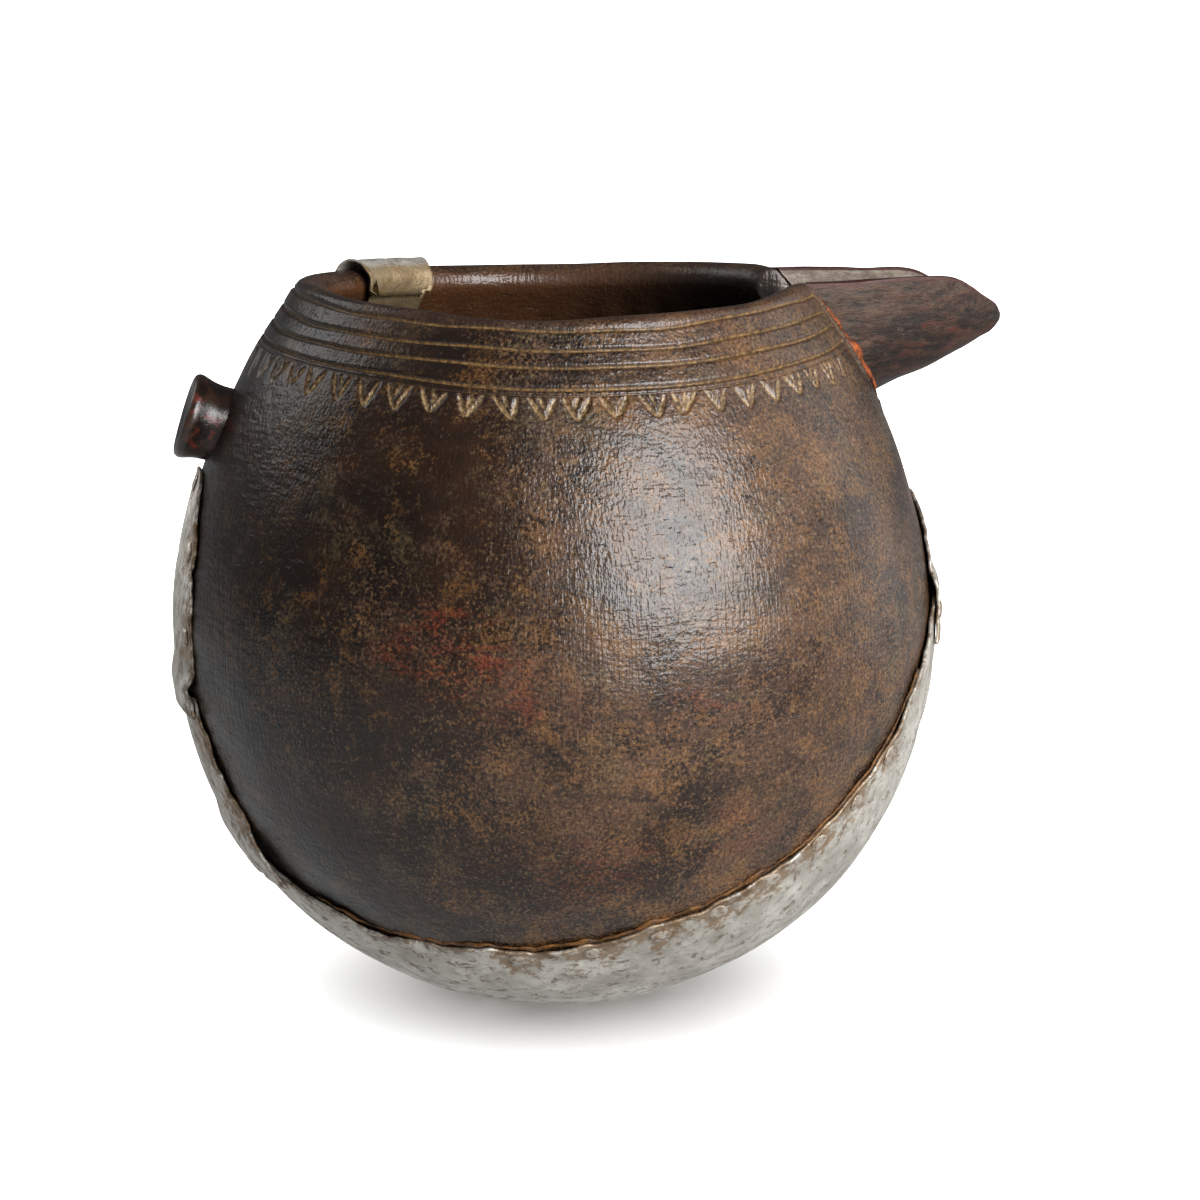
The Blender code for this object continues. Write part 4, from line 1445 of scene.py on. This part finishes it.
def nail_metal():
    """Brighter aluminium with brown dirt."""
    s = Surface("nail_aluminium", Metallic=0.6, Specular_IOR_Level=0.5)
    cloud = s.noise(0.0016, 6, 0.7, shift=4.0)
    s.colour = s.mixed(s.step(cloud, 0.42, 0.66), (186, 178, 166), (120, 92, 66))
    s.bump((cloud, 0.0003))
    return s.finish(s.step(cloud, 0.4, 0.6, 0.36, 0.55))


def pitch_resin(name, dark, light):
    """Cloudy pitch between two colours."""
    s = Surface(name, Specular_IOR_Level=0.25, Coat_Weight=0.08, Coat_Roughness=0.3)
    cloud = s.noise(0.0022, 6, 0.7, shift=3.0)
    s.colour = s.mixed(s.step(cloud, 0.36, 0.64), dark, light)
    s.bump((cloud, 0.0003))
    return s.finish(s.step(cloud, 0.4, 0.6, 0.35, 0.6))


# ---------------------------------------------------------------- stage


def add_camera():
    """The camera, at a heading counted from +X and a pitch below the horizon."""
    lens = bpy.data.cameras.new("camera")
    lens.sensor_width = 36.0
    lens.lens = CAMERA_LENS
    lens.clip_start = 0.05
    lens.clip_end = 100.0
    camera = bpy.data.objects.new("camera", lens)
    turn = math.radians(CAMERA_AZIMUTH)
    camera.location = (CAMERA_DISTANCE * math.cos(turn), CAMERA_DISTANCE * math.sin(turn), CAMERA_HEIGHT)
    angles = (90 - CAMERA_PITCH, 0, CAMERA_HEADING - 90)
    camera.rotation_euler = [math.radians(angle) for angle in angles]
    bpy.context.scene.collection.objects.link(camera)
    bpy.context.scene.camera = camera


def area_light(name, azimuth, elevation, distance, size, power):
    """A soft rectangle of light, aimed at the middle of the object."""
    lamp = bpy.data.lights.new(name, "AREA")
    lamp.shape = "RECTANGLE"
    lamp.size, lamp.size_y = size
    lamp.energy = power
    made = bpy.data.objects.new(name, lamp)
    turn, rise = math.radians(azimuth), math.radians(elevation)
    flat = distance * math.cos(rise)
    offset = Vector((flat * math.cos(turn), flat * math.sin(turn), distance * math.sin(rise)))
    made.location = LIGHT_TARGET + offset
    made.rotation_euler = (-offset).to_track_quat("-Z", "Y").to_euler()
    made.visible_camera = False
    bpy.context.scene.collection.objects.link(made)
    return made


def sky_light(name, strength, spread):
    """An overhead light so far away that the floor is equally bright all over."""
    lamp = bpy.data.lights.new(name, "SUN")
    lamp.energy = strength
    lamp.angle = math.radians(spread)
    made = bpy.data.objects.new(name, lamp)
    made.location = (0.0, 0.0, 3.0)
    made.rotation_euler = (math.radians(6), math.radians(-4), 0.0)
    bpy.context.scene.collection.objects.link(made)
    return made


def add_floor():
    """A pale floor just under the foot, which the object's gloss doesn't pick up."""
    corners = np.array([(-1, -1, 0), (1, -1, 0), (1, 1, 0), (-1, 1, 0)]) * FLOOR_SIZE
    corners[:, 2] = -FLOOR_GAP
    floor = mesh_piece("floor", corners, np.array([[0, 1, 2, 3]]))
    s = Surface("pale_floor", Specular_IOR_Level=0.2)
    paper = s.noise(0.004, 4, 0.6)
    s.colour = s.mixed(paper, (238, 238, 238), (242, 242, 242))
    floor.data.materials.append(s.finish(s.step(paper, 0, 1, 0.85, 0.9)))
    floor.visible_diffuse = False
    floor.visible_glossy = False
    return floor


def pieces(material=""):
    """The object's visible pieces whose material's name holds a word."""
    made = [piece for piece in bpy.data.objects if piece.type == "MESH" and "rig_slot" in piece]
    return [piece for piece in made if material in piece.data.materials[0].name]


def light_only(lamp, receivers):
    """Keeps a light to some objects."""
    linked = bpy.data.collections.new("lit_by_" + lamp.name)
    for made in receivers:
        linked.objects.link(made)
    lamp.light_linking.receiver_collection = linked


def add_world():
    """White surroundings, bright from below the horizon and dim above it."""
    world = bpy.data.worlds.new("studio")
    bpy.context.scene.world = world
    world.use_nodes = True
    nodes, links = world.node_tree.nodes, world.node_tree.links
    backdrop = nodes["Background"]
    backdrop.inputs["Color"].default_value = (1.0, 1.0, 1.0, 1.0)
    direction = nodes.new("ShaderNodeTexCoord")
    parts = nodes.new("ShaderNodeSeparateXYZ")
    links.new(direction.outputs["Generated"], parts.inputs[0])
    strength = nodes.new("ShaderNodeMapRange")
    links.new(parts.outputs["Z"], strength.inputs["Value"])
    for socket, number in zip(strength.inputs[1:5], (*WORLD_FADE, *WORLD_STRENGTH)):
        socket.default_value = number
    links.new(strength.outputs[0], backdrop.inputs["Strength"])


def add_light(floor):
    """The surroundings, the lights on the object, and one for the floor alone."""
    add_world()
    for *placing, material in LIGHTS:
        light_only(area_light(*placing), pieces(material))
    light_only(sky_light("floor_light", FLOOR_LIGHT, FLOOR_LIGHT_SPREAD), [floor])


def main():
    """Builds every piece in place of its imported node, then the camera, floor and lights."""
    add_camera()
    metal = sheet_metal()
    nails = nail_metal()
    tarnished = sheet_metal("tarnished_aluminium", 0.85)
    brown = pitch_resin("brown_pitch", (50, 33, 18), (112, 74, 34))
    orange = pitch_resin("orange_pitch", (56, 30, 14), (160, 78, 26))
    place_piece(vessel_body(), body_wood(), "dark_wood", "vessel_body")
    place_piece(spout(), spout_wood(), "reddish_wood", "spout")
    place_piece(lug(), lug_wood(), "dark_wood", "lug")
    place_piece(bottom_sheet(), metal, "aluminium_sheet", "bottom_sheet")
    for made, node in zip(straps(), ("lug_strap_lower", "lug_strap_upper", "spout_strap")):
        place_piece(made, metal, "aluminium_sheet", node)
    place_piece(rim_clip(), tarnished, "aluminium_sheet", "rim_clip")
    for number, seat in enumerate(nail_seats(), 1):
        place_piece(nail_head(number, seat), nails, "nail_metal", f"nail_{number:02d}")
    place_piece(edge_bead("edge_pitch_front", -1), brown, "pitch", "pitch_seal_front")
    place_piece(edge_bead("edge_pitch_back", 1), brown, "pitch", "pitch_seal_back")
    place_piece(spout_bead(), orange, "pitch", "spout_seal")
    add_light(add_floor())
    bpy.context.scene.view_settings.view_transform = "Standard"


main()
